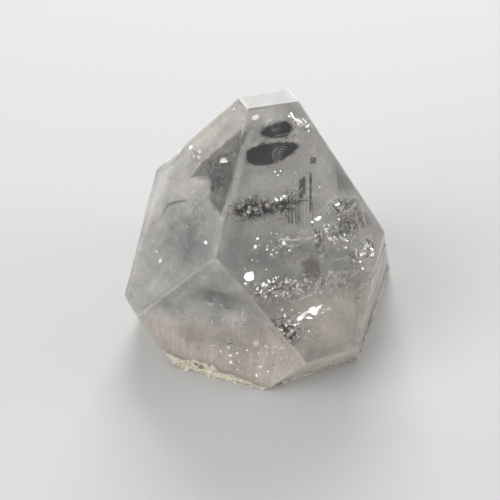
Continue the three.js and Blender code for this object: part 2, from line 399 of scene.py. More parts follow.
# %% Chips, notches and the broken rim
CHIPS = [  # middle x, y, z and radius
    (-3.6, -9.6, 34.9, 0.7), (-2.9, -11.6, 32.6, 0.55), (-2.6, -15, 28.4, 0.6), (-14.6, -3.4, 29, 0.8),
    (-18.3, -13.4, 11.6, 0.7), (18.3, -2.2, 21.9, 0.7), (15.7, -1.4, 25.5, 0.6), (8.6, -0.9, 34.2, 0.55),
    (-5.9, -3.6, 40.4, 0.6), (1.5, 2.2, 40.3, 0.9), (-13, 2.5, 30.1, 0.7), (1, 19.3, 20.3, 0.8),
    (-18.4, 14.5, 4, 0.8),
]
RIM_NOTCHES = [  # middle x, y and radius
    (-5.4, -18.7, 0.75), (3.2, -18.7, 0.85), (15.5, -9.2, 0.7), (-8.7, -17.9, 0.8), (18.3, 3.6, 0.7),
    (16.9, 18.6, 1.1), (-18, 16.9, 1.2), (-18.4, -6.4, 0.9),
]
NOTCH_BELOW = 0.15  # mm: the balls stand this far below the base, so each sees the base and the sides
RIM_HEIGHT = 0.9  # the broken rim reaches this far up the sides, give or take
RIM_BITE = 0.34  # how far in it goes at most
RIM_RADIUS = 18  # mm: about how far the rim is from the upright axis
RIM_EASE = 1.5  # mm from the edge over which the move dies out, wide enough that the base never folds


def scoop(points, middle, radius):
    """Points inside the ball move out along their own ray to its faintly rippled surface."""
    ray = points - np.array(middle)
    away = np.linalg.norm(ray, axis=1)
    ripple = 1 + 0.05 * np.sin(away * 9)
    reach = radius * ripple
    inside = (away < reach) & (away > 1e-6)
    moved = points.copy()
    moved[inside] += ray[inside] / away[inside, None] * (reach - away)[inside, None]
    return moved


def break_rim(points):
    """The lowest millimetre is ragged: it moves towards the upright axis by a wandering amount.

    The amount wanders with a point's direction and height alone, so points in line never change places."""
    flat = points[:, :2]
    away = np.linalg.norm(flat, axis=1)
    edge = np.min([on_face(face, points)[2] for face in FACES.values()], 0)
    near_edge = 1 - soft_step(edge, 0, RIM_EASE)
    way = flat / np.maximum(away, 1)[:, None]
    spot = np.concatenate([way * RIM_RADIUS, points[:, 2:]], 1)
    ragged = 0.5 + 0.35 * swells(spot, 1.1, 71) + 0.3 * swells(spot, 0.55, 72)
    height = RIM_HEIGHT * (0.8 + 0.3 * swells(spot[:, :2], 4.5, 73))
    share = (1 - soft_step(points[:, 2], 0.25 * height, height)) * near_edge
    moved = points.copy()
    moved[:, :2] -= way * (RIM_BITE * share * np.clip(ragged, 0, 1.4))[:, None]
    return moved


def shape_skin(grid):
    """All the relief in order: faces, rim, chips. The base stays level at height 0."""
    points = add_relief(grid.reshape(-1, 3))
    points = break_rim(points)
    for x, y, z, radius in CHIPS:
        points = scoop(points, (x, y, z), radius)
    for x, y, radius in RIM_NOTCHES:
        points = scoop(points, (x, y, -NOTCH_BELOW), radius + NOTCH_BELOW)
    points[:, 2] = np.maximum(points[:, 2], 0)
    return points.reshape(grid.shape)


shaped = shape_skin(skin)
print("deepest move, mm:", round(float(np.linalg.norm(shaped - skin, axis=-1).max()), 2))

# %% [markdown]
# ## From grid to mesh
#
# The grid wraps round, so its last column meets its first. Columns of faces that have no width lie on top
# of each other there, and merging them leaves one closed skin with exact edges. Sharp edges are kept
# sharp and everything gentler is shaded smooth.

# %% Put a grid into a mesh
MERGE_WITHIN = 0.004  # mm
SHARP_FROM = 24  # degrees
NEVER_SHARP = 180


def grid_faces(rows, columns, wrap):
    """Four corner numbers for each cell of a grid, going round so that the face points outwards."""
    number = np.arange(rows * columns).reshape(rows, columns)
    after = np.roll(number, -1, 1) if wrap else number[:, 1:]
    here = number if wrap else number[:, :-1]
    return np.stack([here[:-1], after[:-1], after[1:], here[1:]], -1).reshape(-1, 4)


def new_piece(name, points, faces, material):
    """A mesh object at the origin from points in mm and lists of corner numbers."""
    mesh = bpy.data.meshes.new(name)
    mesh.from_pydata((points * MM).tolist(), [], faces.tolist())
    mesh.materials.append(material)
    piece = bpy.data.objects.new(name, mesh)
    bpy.context.collection.objects.link(piece)
    return piece


def tidy_mesh(mesh, sharp_from):
    """Merges points that lie together, drops faces with no area, and marks the sharp edges."""
    work = bmesh.new()
    work.from_mesh(mesh)
    bmesh.ops.remove_doubles(work, verts=work.verts, dist=MERGE_WITHIN * MM)
    bmesh.ops.dissolve_degenerate(work, edges=work.edges, dist=0.5 * MERGE_WITHIN * MM)
    bmesh.ops.triangulate(work, faces=[face for face in work.faces if len(face.verts) > 4])
    work.to_mesh(mesh)
    work.free()
    mesh.shade_smooth()
    mesh.set_sharp_from_angle(angle=math.radians(sharp_from))


def add_values(mesh, name, values):
    """One number for each point of the mesh, for a material to read."""
    mesh.attributes.new(name, "FLOAT", "POINT").data.foreach_set("value", values.astype(np.float32))


# %% [markdown]
# ## What is clear and what is milky
#
# The mineral is clear, and what makes it milky is tiny liquid-filled bubbles and healed cracks, mostly
# near the surface. They thin out in places and leave clear windows that one can look deep into, and
# the clearer a place is, the more painted shade darkens it: the glass is tinted near-black there. Milk
# and windows could both be painted by hand in a picture, but a picture can't be read or changed. Here each
# patch is a named shape in millimetres on its face: windows are outlines, clouds are soft ovals, and
# growth lines, cracks and one painted highlight along a ridge are lines. A wandering value makes all their
# borders ragged, and the sum is kept on the mesh as a few numbers for each point, which the material reads.

# %% Shapes on a face
def depth_inside(across, up, outline):
    """How far points lie inside an outline of any form, in mm, and less than 0 outside.

    The size is the gap to the nearest side. The sign comes from counting the sides that a level line from
    the point crosses: an odd count is inside."""
    corners = np.array(outline, float)
    nearest = np.full(across.shape, np.inf)
    inside = np.zeros(across.shape, bool)
    for start, end in zip(corners, np.roll(corners, -1, 0)):
        nearest = np.minimum(nearest, gap_to_side(across, up, start, end))
        if start[1] != end[1]:
            crossing = start[0] + (up - start[1]) * (end[0] - start[0]) / (end[1] - start[1])
            inside ^= ((start[1] > up) != (end[1] > up)) & (across < crossing)
    return np.where(inside, nearest, -nearest)


def gap_to_side(across, up, start, end):
    """The gap from points to the nearest point of a straight side."""
    way = np.subtract(end, start)
    share = ((across - start[0]) * way[0] + (up - start[1]) * way[1]) / (way @ way)
    share = np.clip(share, 0, 1)
    return np.hypot(across - start[0] - share * way[0], up - start[1] - share * way[1])


def gap_to_line(across, up, line):
    """The gap from points to a line of several straight sides."""
    return np.min([gap_to_side(across, up, start, end) for start, end in zip(line[:-1], line[1:])], 0)


def soft_oval(across, up, middle_across, middle_up, wide, tall, turn):
    """1 in the middle of a turned oval, falling smoothly to 0 at its rim: (1 - r squared) squared."""
    lean = math.radians(turn)
    east = across - middle_across
    north = up - middle_up
    long = (east * math.cos(lean) + north * math.sin(lean)) / wide
    short = (north * math.cos(lean) - east * math.sin(lean)) / tall
    return np.clip(1 - long ** 2 - short ** 2, 0, 1) ** 2


# %% The patches
BASE = (0.0, 180.0, 0.0)
FACE_LOOKS = {  # milk, polish, upright streaks, level layers, each from 0 to 1
    "front": (0.78, 0.72, 0.6, 0.05),
    "front_right": (0.72, 1.0, 0.0, 0.0),
    "under_right": (1.0, 0.6, 0.0, 0.6),
    "right": (0.84, 0.6, 0.1, 0.8),
    "back_right": (0.95, 0.5, 0.0, 0.1),
    "back": (0.95, 0.45, 0.7, 0.5),
    "back_left": (0.95, 0.5, 0.0, 0.1),
    "left": (0.95, 0.45, 0.5, 0.6),
    "under_left": (0.95, 0.3, 0.0, 0.6),
    "front_left": (0.76, 0.5, 0.0, 0.0),
    "tip": (1.0, 0.0, 0.0, 0.0),
    "base": (0.95, 0.2, 0.0, 0.0),
}
# the clearer a window, the more painted shade it takes from the glass's near-black colour
WINDOWS = [  # face, how clear, corners (across, up) in mm
    ("front_left", 0.72, [
        (0.1, 24.4), (2.6, 29.3), (4.4, 27.4), (6.6, 22.4), (7.8, 18.2), (4.4, 18.3), (2.1, 20.5),
    ]),
    ("front_left", 0.72, [(-1.9, 18.2), (2.1, 20.5), (0.1, 24.4), (-1.8, 20.1)]),
    ("front_right", 0.65, [
        (-8.9, 30.2), (-6.9, 30), (-8.4, 28), (-9.2, 26.5), (-12.2, 19.9), (-13, 19.2),
    ]),
    ("front_right", 0.55, [
        (-11, 21.1), (-6.6, 20.4), (0.2, 18.9), (-2.4, 17.9), (-6.8, 18), (-9.7, 18.1), (-11.3, 19.6),
    ]),
    ("front_right", 0.4, [(-8.6, 3.4), (-6.2, 2.6), (-4.4, -0.4), (-5.6, -1.6), (-7.4, 0.2)]),
    ("front_right", 0.45, [(5.6, 22.7), (6.2, 22.4), (8.1, 19.4), (7.9, 18.6), (5.4, 18.9)]),
    ("front_right", 0.35, [(4.6, 15.4), (8.9, 16.4), (9.9, 13.1), (4.8, 12.4)]),
    ("front_right", 0.3, [(-2.2, 10.6), (0.5, 10.2), (0.7, 7.6), (-1.9, 7.9)]),
    ("front_right", 0.6, [
        (-5.3, 29.4), (-4.2, 30.3), (-0.9, 30.8), (0.1, 30.1), (0.4, 29.2), (-1.1, 27.9), (-4.4, 28.8),
    ]),
    ("front_right", 0.6, [
        (-7.8, 27.6), (-4.9, 28.2), (-0.2, 27.6), (1.0, 26.6), (-0.2, 25.8), (-4.4, 24.8), (-8, 25.9),
    ]),
]
CLOUDS = [  # face, middle across and up, half width, half height, turn, change of milk
    ("front_left", -4.5, 26.0, 3.8, 8.0, -20, 0.42), ("front_left", -9.5, 13.0, 4.5, 14.0, 12, 0.4),
    ("front_left", -8.5, -1.0, 8.0, 8.0, 30, 0.45), ("front_left", 4.0, 12.5, 9.0, 9.5, 0, -0.22),
    ("front_left", 5.5, 31.5, 5.0, 2.6, 10, 0.3), ("front_left", 0.0, 16.0, 4.0, 3.0, 0, 0.08),
    ("front_right", -5.0, 32.4, 9.0, 2.8, 0, 0.36), ("front_right", -4.5, 22.6, 5.5, 2.6, 0, 0.12),
    ("front_right", 3.8, 21.5, 2.6, 6.5, 8, 0.16), ("front_right", -4.0, 16.5, 3.0, 2.2, 0, -0.16),
    ("front_right", -6.5, 12.0, 5.0, 4.0, 0, -0.1), ("front_right", 6.4, 20.8, 1.4, 2.6, 25, -0.25),
    ("front_right", 1.0, 1.0, 12.0, 8.5, 0, 0.32), ("front_right", 10.5, 5.0, 4.5, 14.0, 12, 0.4),
    ("front", -2.0, 19.0, 7.0, 6.0, 0, -0.34), ("front", -2.0, 12.0, 10.0, 4.5, 0, 0.12),
    ("front", -12.0, 7.0, 6.5, 9.0, 25, 0.34), ("front", 0.0, 4.0, 14.0, 6.0, 0, 0.3),
    ("front", 9.0, 10.0, 6.0, 8.0, 0, 0.4), ("right", -6.0, 12.0, 6.0, 10.0, 0, 0.1),
    ("back_left", 1.5, 22.0, 5.5, 8.0, -30, -0.42), ("back_left", -7.0, 9.0, 6.0, 7.0, 20, -0.2),
    ("back_right", -2.5, 14.0, 8.0, 4.5, 20, -0.4), ("back_right", 3.5, 25.0, 3.5, 7.0, 12, -0.25),
    ("back", 3.0, 11.0, 8.0, 5.0, 40, -0.3), ("left", -4.0, 11.0, 8.0, 6.0, 10, -0.22),
]
LINES = [  # face, half width, change of milk, points (across, up)
    ("front_left", 0.16, -0.3, [(-3.8, 10.2), (-3.7, 12.4), (-2.2, 13.8), (-1.0, 14.9), (-0.3, 15.3)]),
    # painted highlight: the next line is a bright stroke of milk where the ridge with the front left face
    # catches the light
    ("front_right", 0.36, 0.4, [(-6.2, 29.8), (-7.8, 27.9), (-8.6, 26.4), (-10.2, 22.8), (-11.8, 19.4)]),
    ("front_left", 0.2, 0.35, [(-1.7, 18.3), (-0.4, 19.4), (1.3, 20.5)]),
    ("front_right", 0.25, 0.25, [(-7.6, 27.9), (-5.2, 28.6), (-2.6, 28.0), (0.4, 27.4)]),
    ("front_right", 0.16, 0.3, [(-5.2, 14.5), (-3.6, 13.9), (-1.8, 13.6), (-0.2, 13.3)]),
    ("front_right", 0.14, 0.2, [(-4.9, 13.7), (-3.5, 13.0), (-2.6, 12.9)]),
    ("front_right", 0.2, 0.22, [(1.6, 16.6), (3.4, 17.9), (6.2, 18.3), (8.6, 17.4), (9.2, 15.9)]),
    ("front_right", 0.16, 0.25, [(4.6, 14.6), (6.6, 15.3), (8.4, 16.0), (9.4, 15.4)]),
    ("front_right", 0.2, 0.2, [(-3.2, 6.2), (-1.6, 5.0), (0.3, 7.2), (1.0, 9.6), (1.2, 13.5)]),
]
FLAKES = [  # face, middle across and up, half width, half height, turn, how flaky
    ("front_right", -8.6, 19.6, 2.9, 1.6, -8, 1.0), ("front_right", -4.6, 18.9, 3.6, 0.9, -6, 0.9),
    ("front_right", -7.2, 7.6, 4.6, 1.5, -6, 0.9), ("front_right", -6.9, 1.4, 2.9, 3.0, -40, 1.0),
    ("front_right", -2.9, 6.3, 2.2, 1.4, 30, 0.8), ("front_right", 1.3, 6.3, 2.0, 1.3, 0, 0.9),
    ("front_right", 3.9, 7.2, 2.6, 1.0, -4, 0.7), ("front_right", 7.6, 9.8, 2.6, 1.5, 20, 0.8),
    ("front_right", -2.3, -0.3, 2.0, 1.4, 0, 0.6), ("front_right", 1.0, 12.6, 0.9, 2.6, 0, 0.7),
    ("front_right", 1.6, 5.2, 6.0, 2.0, 0, 0.45), ("front_left", -3.6, 21.4, 2.6, 1.1, 10, 0.7),
    ("front_left", 3.0, 15.8, 3.4, 1.8, 0, 0.35), ("front", 6.3, 19.5, 2.4, 2.2, -30, 0.6),
    ("front", 7.0, 14.0, 3.4, 2.6, 0, 0.5),
]
WARM = [  # face, how warm, corners (across, up) in mm
    ("front", 1.0, [
        (-18, -2), (16, -2), (16, 16), (3, 13.6), (0, 11.9), (-5, 11.4), (-13, 9.2), (-18, 8),
    ]),
    ("front_right", 0.85, [
        (-18, 7), (-9, 8.2), (-3, 7), (3, 7.6), (9, 5.4), (14, 6), (16, -9), (-18, -9),
    ]),
    ("front_right", 1.0, [(-2.1, 10.7), (0.5, 10.2), (0.7, 7.6), (-1.9, 7.8)]),
    ("front_left", 0.45, [(-16, 3), (-6, 6), (-3, 0), (-4, -6), (-16, -6)]),
    ("front_left", 0.5, [(-5, 20), (-1, 22), (0, 27), (2.6, 31), (8, 33), (-2, 34), (-8, 24)]),
    ("right", 0.6, [(-20, -2), (20, -2), (20, 22), (-20, 22)]),
    ("under_right", 0.8, [(-20, -2), (20, -2), (20, 22), (-20, 22)]),
]
print(len(WINDOWS), "windows,", len(CLOUDS), "clouds,", len(LINES), "lines,", len(FLAKES), "flaky patches")

# %% Paint the faces
PAINTED = ("milk", "polish", "flake", "streaks", "layers", "warm")
STREAKS_FADE = (8, 13)  # mm up the front side, over which its streaks grow faint
WINDOW_SOFT = 0.55  # mm over which a window's border fades
BORDER_WANDER = 0.1  # mm
EDGE_HIGHLIGHT_REACH = 0.25  # mm: painted highlight, edges are whiter this far in
EDGE_HIGHLIGHT_MILK = 0.04  # the milk that the painted edge highlight adds
WARM_SOFT = 1.6  # mm over which a warm patch fades


def ragged(across, up, size, seed):
    """A wandering shift of a border, in mm."""
    place = np.stack([across, up], -1)
    return size * swells(place, 1.6, seed) + 0.5 * size * swells(place, 0.6, seed)


def face_paint(name, across, up):
    """The six painted values of one face: its own look, then clouds, lines, windows and flakes over it."""
    milk, polish, streaks, layers = (np.full(across.shape, value) for value in FACE_LOOKS[name])
    if name == "front":
        streaks = streaks * (1 - 0.6 * soft_step(up, *STREAKS_FADE))
    flake = np.zeros(across.shape)
    warm = np.zeros(across.shape)
    place = np.stack([across, up], -1)
    milk = milk + 0.05 * swells(place, 5, 301) + 0.03 * swells(place, 1.7, 302)
    shift_across = across + ragged(across, up, BORDER_WANDER, 303)
    shift_up = up + ragged(across, up, BORDER_WANDER, 304)
    for *oval, change in rows_of(CLOUDS, name):
        milk = milk + change * soft_oval(shift_across, shift_up, *oval)
    for *oval, amount in rows_of(FLAKES, name):
        patch = soft_step(soft_oval(shift_across, shift_up, *oval), 0.05, 0.4)
        flake = np.maximum(flake, amount * patch)
    for clear, outline in rows_of(WINDOWS, name):
        within = depth_inside(shift_across, shift_up, outline)
        inside = clear * soft_step(within, -WINDOW_SOFT / 2, WINDOW_SOFT / 2)
        milk = milk * (1 - inside)
        polish = polish + (1 - polish) * inside
    for half_width, change, line in rows_of(LINES, name):
        gap = gap_to_line(across, up, line)
        milk = milk + change * (1 - soft_step(gap, 0.4 * half_width, 1.8 * half_width))
    for amount, outline in rows_of(WARM, name):
        within = depth_inside(shift_across, shift_up, outline)
        warm = np.maximum(warm, amount * soft_step(within, -WARM_SOFT / 2, WARM_SOFT / 2))
    return np.stack([milk, polish, flake, streaks, layers, warm], -1)


def paint(points):
    """Each point gets the mean of what its faces say, so an edge gets both. Edges get a painted highlight: they
    are whiter.
    """
    total = np.zeros((len(points), len(PAINTED)))
    count = np.zeros(len(points))
    unders = []
    for name, face in {**FACES, "tip": TIP, "base": BASE}.items():
        across, up, under = on_face(face, points)
        on = under < ON_FACE_WITHIN
        total[on] += face_paint(name, across[on], up[on])
        count += on
        unders.append(under)
    values = total / count[:, None]
    to_edge = np.sort(unders, 0)[1]
    # painted highlight: milk added along every edge, fading inwards
    edge_highlight = (1 - soft_step(to_edge, 0, EDGE_HIGHLIGHT_REACH)) * (0.6 + 0.4 * swells(points, 2.2, 305))
    values[:, 0] += EDGE_HIGHLIGHT_MILK * np.clip(edge_highlight, 0, 1)
    return np.clip(values, 0, 1)


painted = paint(skin.reshape(-1, 3))
print("mean milk and polish:", painted[:, :2].mean(0).round(2).tolist())

# %% [markdown]
# ## The crystal's material
#
# The glass itself is plain, with one transmission, one index of refraction and one absorption. The
# painted values steer its colour and its roughness, and noise adds what is finer than the mesh: wisps,
# specks, upright streaks on the prism sides, and the edges of cleavage layers. The noise reads Object
# coordinates, so it stays where it is on the stone.

# %% Node helpers
def new_material(name):
    """An empty node material with its output and one Principled shader."""
    material = bpy.data.materials.new(name)
    material.use_nodes = True
    tree = material.node_tree
    tree.nodes.clear()
    output = tree.nodes.new("ShaderNodeOutputMaterial")
    shader = tree.nodes.new("ShaderNodeBsdfPrincipled")
    tree.links.new(shader.outputs["BSDF"], output.inputs["Surface"])
    return material, tree, shader, output


def add_node(tree, kind, inputs=None, **settings):
    """A node with its settings, its plain values, and its links from other nodes' outputs."""
    node = tree.nodes.new(kind)
    for name, value in settings.items():
        setattr(node, name, value)
    for name, value in (inputs or {}).items():
        if isinstance(value, bpy.types.NodeSocket):
            tree.links.new(value, node.inputs[name])
        else:
            node.inputs[name].default_value = value
    return node


def marks_group():
    """A shared group: noise of one size, stretched along the axes, cut between two levels to a mask."""
    group = bpy.data.node_groups.new("marks", "ShaderNodeTree")
    sockets = (("Place", "NodeSocketVector"), ("Stretch", "NodeSocketVector"), ("Size", "NodeSocketFloat"),
               ("Low", "NodeSocketFloat"), ("High", "NodeSocketFloat"))
    for name, kind in sockets:
        group.interface.new_socket(name, in_out="INPUT", socket_type=kind)
    group.interface.new_socket("Mask", in_out="OUTPUT", socket_type="NodeSocketFloat")
    given = add_node(group, "NodeGroupInput").outputs
    made = add_node(group, "NodeGroupOutput")
    spread = add_node(group, "ShaderNodeVectorMath", operation="MULTIPLY")
    group.links.new(given["Place"], spread.inputs[0])
    group.links.new(given["Stretch"], spread.inputs[1])
    noise = add_node(group, "ShaderNodeTexNoise", {
        "Vector": spread.outputs[0], "Scale": given["Size"], "Detail": 3,
    })
    cut = add_node(group, "ShaderNodeMapRange", {
        "Value": noise.outputs["Fac"], "From Min": given["Low"], "From Max": given["High"],
    })
    group.links.new(cut.outputs["Result"], made.inputs["Mask"])
    return group


MARKS = marks_group()


def add_marks(tree, size, low, high, stretch=(1, 1, 1), shift=0.0):
    """One use of the marks group on Object coordinates, size in mm."""
    place = add_node(tree, "ShaderNodeTexCoord").outputs["Object"]
    moved = add_node(tree, "ShaderNodeVectorMath", operation="ADD")
    tree.links.new(place, moved.inputs[0])
    moved.inputs[1].default_value = (shift, shift, shift)
    node = add_node(tree, "ShaderNodeGroup", node_tree=MARKS)
    tree.links.new(moved.outputs[0], node.inputs["Place"])
    for name, value in (("Stretch", stretch), ("Size", 1 / (size * MM)), ("Low", low), ("High", high)):
        node.inputs[name].default_value = value
    return node.outputs["Mask"]


def add_math(tree, operation, *values):
    """One Math node on sockets or plain numbers."""
    node = add_node(tree, "ShaderNodeMath", operation=operation)
    for index, value in enumerate(values):
        if isinstance(value, bpy.types.NodeSocket):
            tree.links.new(value, node.inputs[index])
        else:
            node.inputs[index].default_value = value
    return node.outputs[0]


def add_sum(tree, start, terms):
    """start + sum of strength * where * (mask - middle), for terms (mask, middle, where, strength)."""
    total = start
    for mask, middle, where, strength in terms:
        swing = add_math(tree, "SUBTRACT", mask, middle)
        if where is not None:
            swing = add_math(tree, "MULTIPLY", swing, where)
        total = add_math(tree, "MULTIPLY_ADD", swing, strength, total)
    return total


def mix_colours(tree, factor, low, high):
    """A blend from the low colour to the high one. Each is three numbers or another node's output."""
    mix = add_node(tree, "ShaderNodeMix", {"Factor": factor}, data_type="RGBA")
    for name, colour in (("A", low), ("B", high)):
        if isinstance(colour, bpy.types.NodeSocket):
            tree.links.new(colour, mix.inputs[name])
        else:
            mix.inputs[name].default_value = (*colour, 1)
    return mix.outputs["Result"]


# %% The crystal glass
IOR = 1.535
TRANSMISSION = 0.9
ROUGHNESS = (0.5, 0.015)  # of a place with no polish and of one with full polish
BUMP_HEIGHT = 0.00006  # metres
SOAK_COLOUR = (0.9, 0.88, 0.85, 1)
SOAK_DENSITY = 2.0
# painted shade: clear glass is tinted near-black, for the darkness seen deep in the windows
CLEAR_SHADE_COLOUR = (0.06, 0.054, 0.05)
MILKY_COLOUR = (0.97, 0.945, 0.92)
WARM_COLOUR = (0.97, 0.92, 0.86)


def crystal_glass():
    """Plain glass whose colour and roughness follow the painted values and the fine marks. Where it is clear,
    its colour is a near-black painted shade.
    """
    material, tree, shader, output = new_material("crystal_glass")
    milk, polish, flake, streaks, layers, warm = (
        add_node(tree, "ShaderNodeAttribute", attribute_name=name).outputs["Fac"] for name in PAINTED
    )
    wisps = add_marks(tree, 3.5, 0.3, 0.7)
    grain = add_marks(tree, 0.8, 0.3, 0.7)
    specks = add_marks(tree, 0.5, 0.67, 0.74)
    dots = add_marks(tree, 0.45, 0.69, 0.74, shift=0.3)
    upright = add_marks(tree, 0.36, 0.3, 0.7, stretch=(1, 1, 0.04))
    level = add_marks(tree, 0.42, 0.3, 0.7, stretch=(0.05, 0.05, 1))
    crumbs = add_marks(tree, 0.75, 0.44, 0.56, stretch=(1, 1, 1.3))
    whiteness = add_sum(tree, milk, [
        (wisps, 0.5, None, 0.1), (grain, 0.5, None, 0.1), (specks, 0.0, None, 0.3), (dots, 0.0, None, -0.5),
        (upright, 0.5, streaks, 0.3), (level, 0.5, layers, 0.35), (crumbs, 0.5, flake, 1.1),
    ])
    whiteness = add_node(tree, "ShaderNodeClamp", {"Value": whiteness}).outputs["Result"]
    milky = mix_colours(tree, warm, MILKY_COLOUR, WARM_COLOUR)
    # painted shade: the less white a place is, the nearer its colour is to near-black
    colour = mix_colours(tree, whiteness, CLEAR_SHADE_COLOUR, milky)
    tree.links.new(colour, shader.inputs["Base Color"])
    rough = add_node(tree, "ShaderNodeMapRange", {
        "Value": polish, "To Min": ROUGHNESS[0], "To Max": ROUGHNESS[1],
    })
    tree.links.new(rough.outputs["Result"], shader.inputs["Roughness"])
    shader.inputs["IOR"].default_value = IOR
    shader.inputs["Transmission Weight"].default_value = TRANSMISSION
    relief = add_sum(tree, 0.0, [
        (grain, 0.5, None, 0.25), (upright, 0.5, streaks, 0.6), (level, 0.5, layers, 0.8),
        (crumbs, 0.5, flake, 1.6),
    ])
    bump = add_node(tree, "ShaderNodeBump", {"Height": relief, "Strength": 0.6, "Distance": BUMP_HEIGHT})
    tree.links.new(bump.outputs["Normal"], shader.inputs["Normal"])
    soak = add_node(tree, "ShaderNodeVolumeAbsorption", {"Color": SOAK_COLOUR, "Density": SOAK_DENSITY})
    tree.links.new(soak.outputs["Volume"], output.inputs["Volume"])
    return material


# %% The broken rim
def rim_break():
    """Matte pale yellow crumbs: the splintered edge of the break."""
    material, tree, shader, _ = new_material("rim_break")
    crumbs = add_marks(tree, 0.5, 0.35, 0.65)
    blots = add_marks(tree, 1.8, 0.35, 0.65, shift=0.2)
    shade = add_sum(tree, 0.3, [(crumbs, 0.0, None, 0.45), (blots, 0.0, None, 0.25)])
    colour = mix_colours(tree, shade, (0.2, 0.175, 0.13), (0.74, 0.69, 0.56))
    tree.links.new(colour, shader.inputs["Base Color"])
    shader.inputs["Roughness"].default_value = 0.75
    bump = add_node(tree, "ShaderNodeBump", {"Height": crumbs, "Strength": 0.8, "Distance": 0.0001})
    tree.links.new(bump.outputs["Normal"], shader.inputs["Normal"])
    return material


# %% Build the crystal
RIM_TOP = 2.5  # mm: the matte break reaches up to about here


def rim_faces(mesh):
    """Gives the rim's material to faces below a wandering height, which is greater at the front left."""
    middles = np.empty(len(mesh.polygons) * 3)
    mesh.polygons.foreach_get("center", middles)
    middles = middles.reshape(-1, 3) / MM
    front_left = soft_step(-middles[:, 0], -6, 9) * soft_step(-middles[:, 1], 0, 14)
    ragged_by = 0.22 * swells(middles, 2.6, 74) + 0.16 * swells(middles, 0.8, 75)
    height = RIM_TOP * (0.36 + 0.75 * front_left + (0.45 + 0.55 * front_left) * ragged_by)
    below = middles[:, 2] < height
    mesh.polygons.foreach_set("material_index", below.astype(np.int32))
    return int(below.sum())


def build_crystal():
    """The closed skin with its painted values, its glass and its matte rim."""
    faces = grid_faces(shaped.shape[0], shaped.shape[1], True)
    piece = new_piece("crystal", shaped.reshape(-1, 3), faces, crystal_glass())
    piece.data.materials.append(rim_break())
    for index, name in enumerate(PAINTED):
        add_values(piece.data, name, painted[:, index])
    tidy_mesh(piece.data, SHARP_FROM)
    print("faces of the rim:", rim_faces(piece.data))
    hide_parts("apophyllite_crystal")
    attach(piece, "root")
    return piece


crystal = build_crystal()
triangles = sum(len(polygon.vertices) - 2 for polygon in crystal.data.polygons)
print("crystal:", len(crystal.data.vertices), "points,", triangles, "triangles")

# %% [markdown]
# ## What lies inside
#
# Deep in the stone are cracks that healed and never quite closed. Their walls are crumpled films that
# throw light back like foil, in patches of bright and dark crumbs. Where the level cleavage began to open
# there are tiny flat flakes, which flash when they face the light. Hair-thin tubes stand side by side
# where growth was disturbed. All of these could be painted on the skin, but then they would not slide
# behind the faces as the crystal turns, so they are real surfaces below it. Light bends where it enters,
# so a place inside is found along the bent line of sight.

# %% Find places under a face
def bent_sight(face, points):
    """The camera's line of sight after it bends into the glass at points of a face, by Snell's law."""
    out, _, _ = directions(face)
    sight = points - np.array(CAMERA_AT)
    sight /= np.linalg.norm(sight, axis=-1, keepdims=True)
    cosine = -(sight @ out)
    bend = np.sqrt(1 - (1 - cosine ** 2) / IOR ** 2)
    return sight / IOR + (cosine / IOR - bend)[..., None] * out


def under_face(name, across, up, depth):
    """Points at a depth under a face, in mm, that show at (across, up) on it."""
    out, right, way_up = directions(FACES[name])
    surface = FACES[name][2] * out + across[..., None] * right + up[..., None] * way_up
    sight = bent_sight(FACES[name], surface)
    return surface + sight * (depth / -(sight @ out))[..., None]


KEEP_INSIDE = 0.25  # mm: cells nearer than this to the skin are left out


def join_grids(grids):
    """Several grids as one list of points and one of faces. Each grid is (points, wrap, kept cells)."""
    points = []
    faces = []
    count = 0
    for grid, wrap, kept in grids:
        cells = grid_faces(grid.shape[0], grid.shape[1], wrap)
        if kept is not None:
            cells = cells[kept.reshape(-1)]
        faces.append(cells + count)
        points.append(grid.reshape(-1, 3))
        count += grid.shape[0] * grid.shape[1]
    return np.concatenate(points), np.concatenate(faces)


def whole_cells(kept):
    """The cells of a grid whose four corners are all kept."""
    return kept[:-1, :-1] & kept[1:, :-1] & kept[1:, 1:] & kept[:-1, 1:]


def depth_in_stone(points):
    """How deep points lie under the nearest of all the faces, tip and base too, in mm."""
    return np.min([on_face(face, points)[2] for face in (*FACES.values(), TIP, BASE)], 0)


def inner_piece(name, grids, material):
    """Makes one piece from grids, riding with the stone. Cells that come too near the skin are left out."""
    points, faces = join_grids(grids)
    faces = faces[(depth_in_stone(points) > KEEP_INSIDE)[faces].all(1)]
    used, renumbered = np.unique(faces, return_inverse=True)
    piece = new_piece(name, points[used], renumbered.reshape(faces.shape), material)
    tidy_mesh(piece.data, NEVER_SHARP)
    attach(piece, "root")
    print(name + ":", len(piece.data.vertices), "points,", len(piece.data.polygons), "faces")


# %% Crack walls
def crack_film(name, dark, light, metal, roughness, holes):
    """Foil-like walls of a crack: bright, patchy, with ragged holes where it has healed shut.

    The metal share mirrors. The rest is matte, as foil is where it is crumpled too finely to see."""
    material, tree, shader, _ = new_material(name)
    patches = add_marks(tree, 0.7, 0.35, 0.65, shift=0.1)
    colour = mix_colours(tree, patches, dark, light)
    tree.links.new(colour, shader.inputs["Base Color"])
    shader.inputs["Metallic"].default_value = metal
    shader.inputs["Roughness"].default_value = roughness
    if holes:
        gaps = add_marks(tree, 0.5, holes, holes + 0.04, shift=0.4)
        tree.links.new(gaps, shader.inputs["Alpha"])
    return material


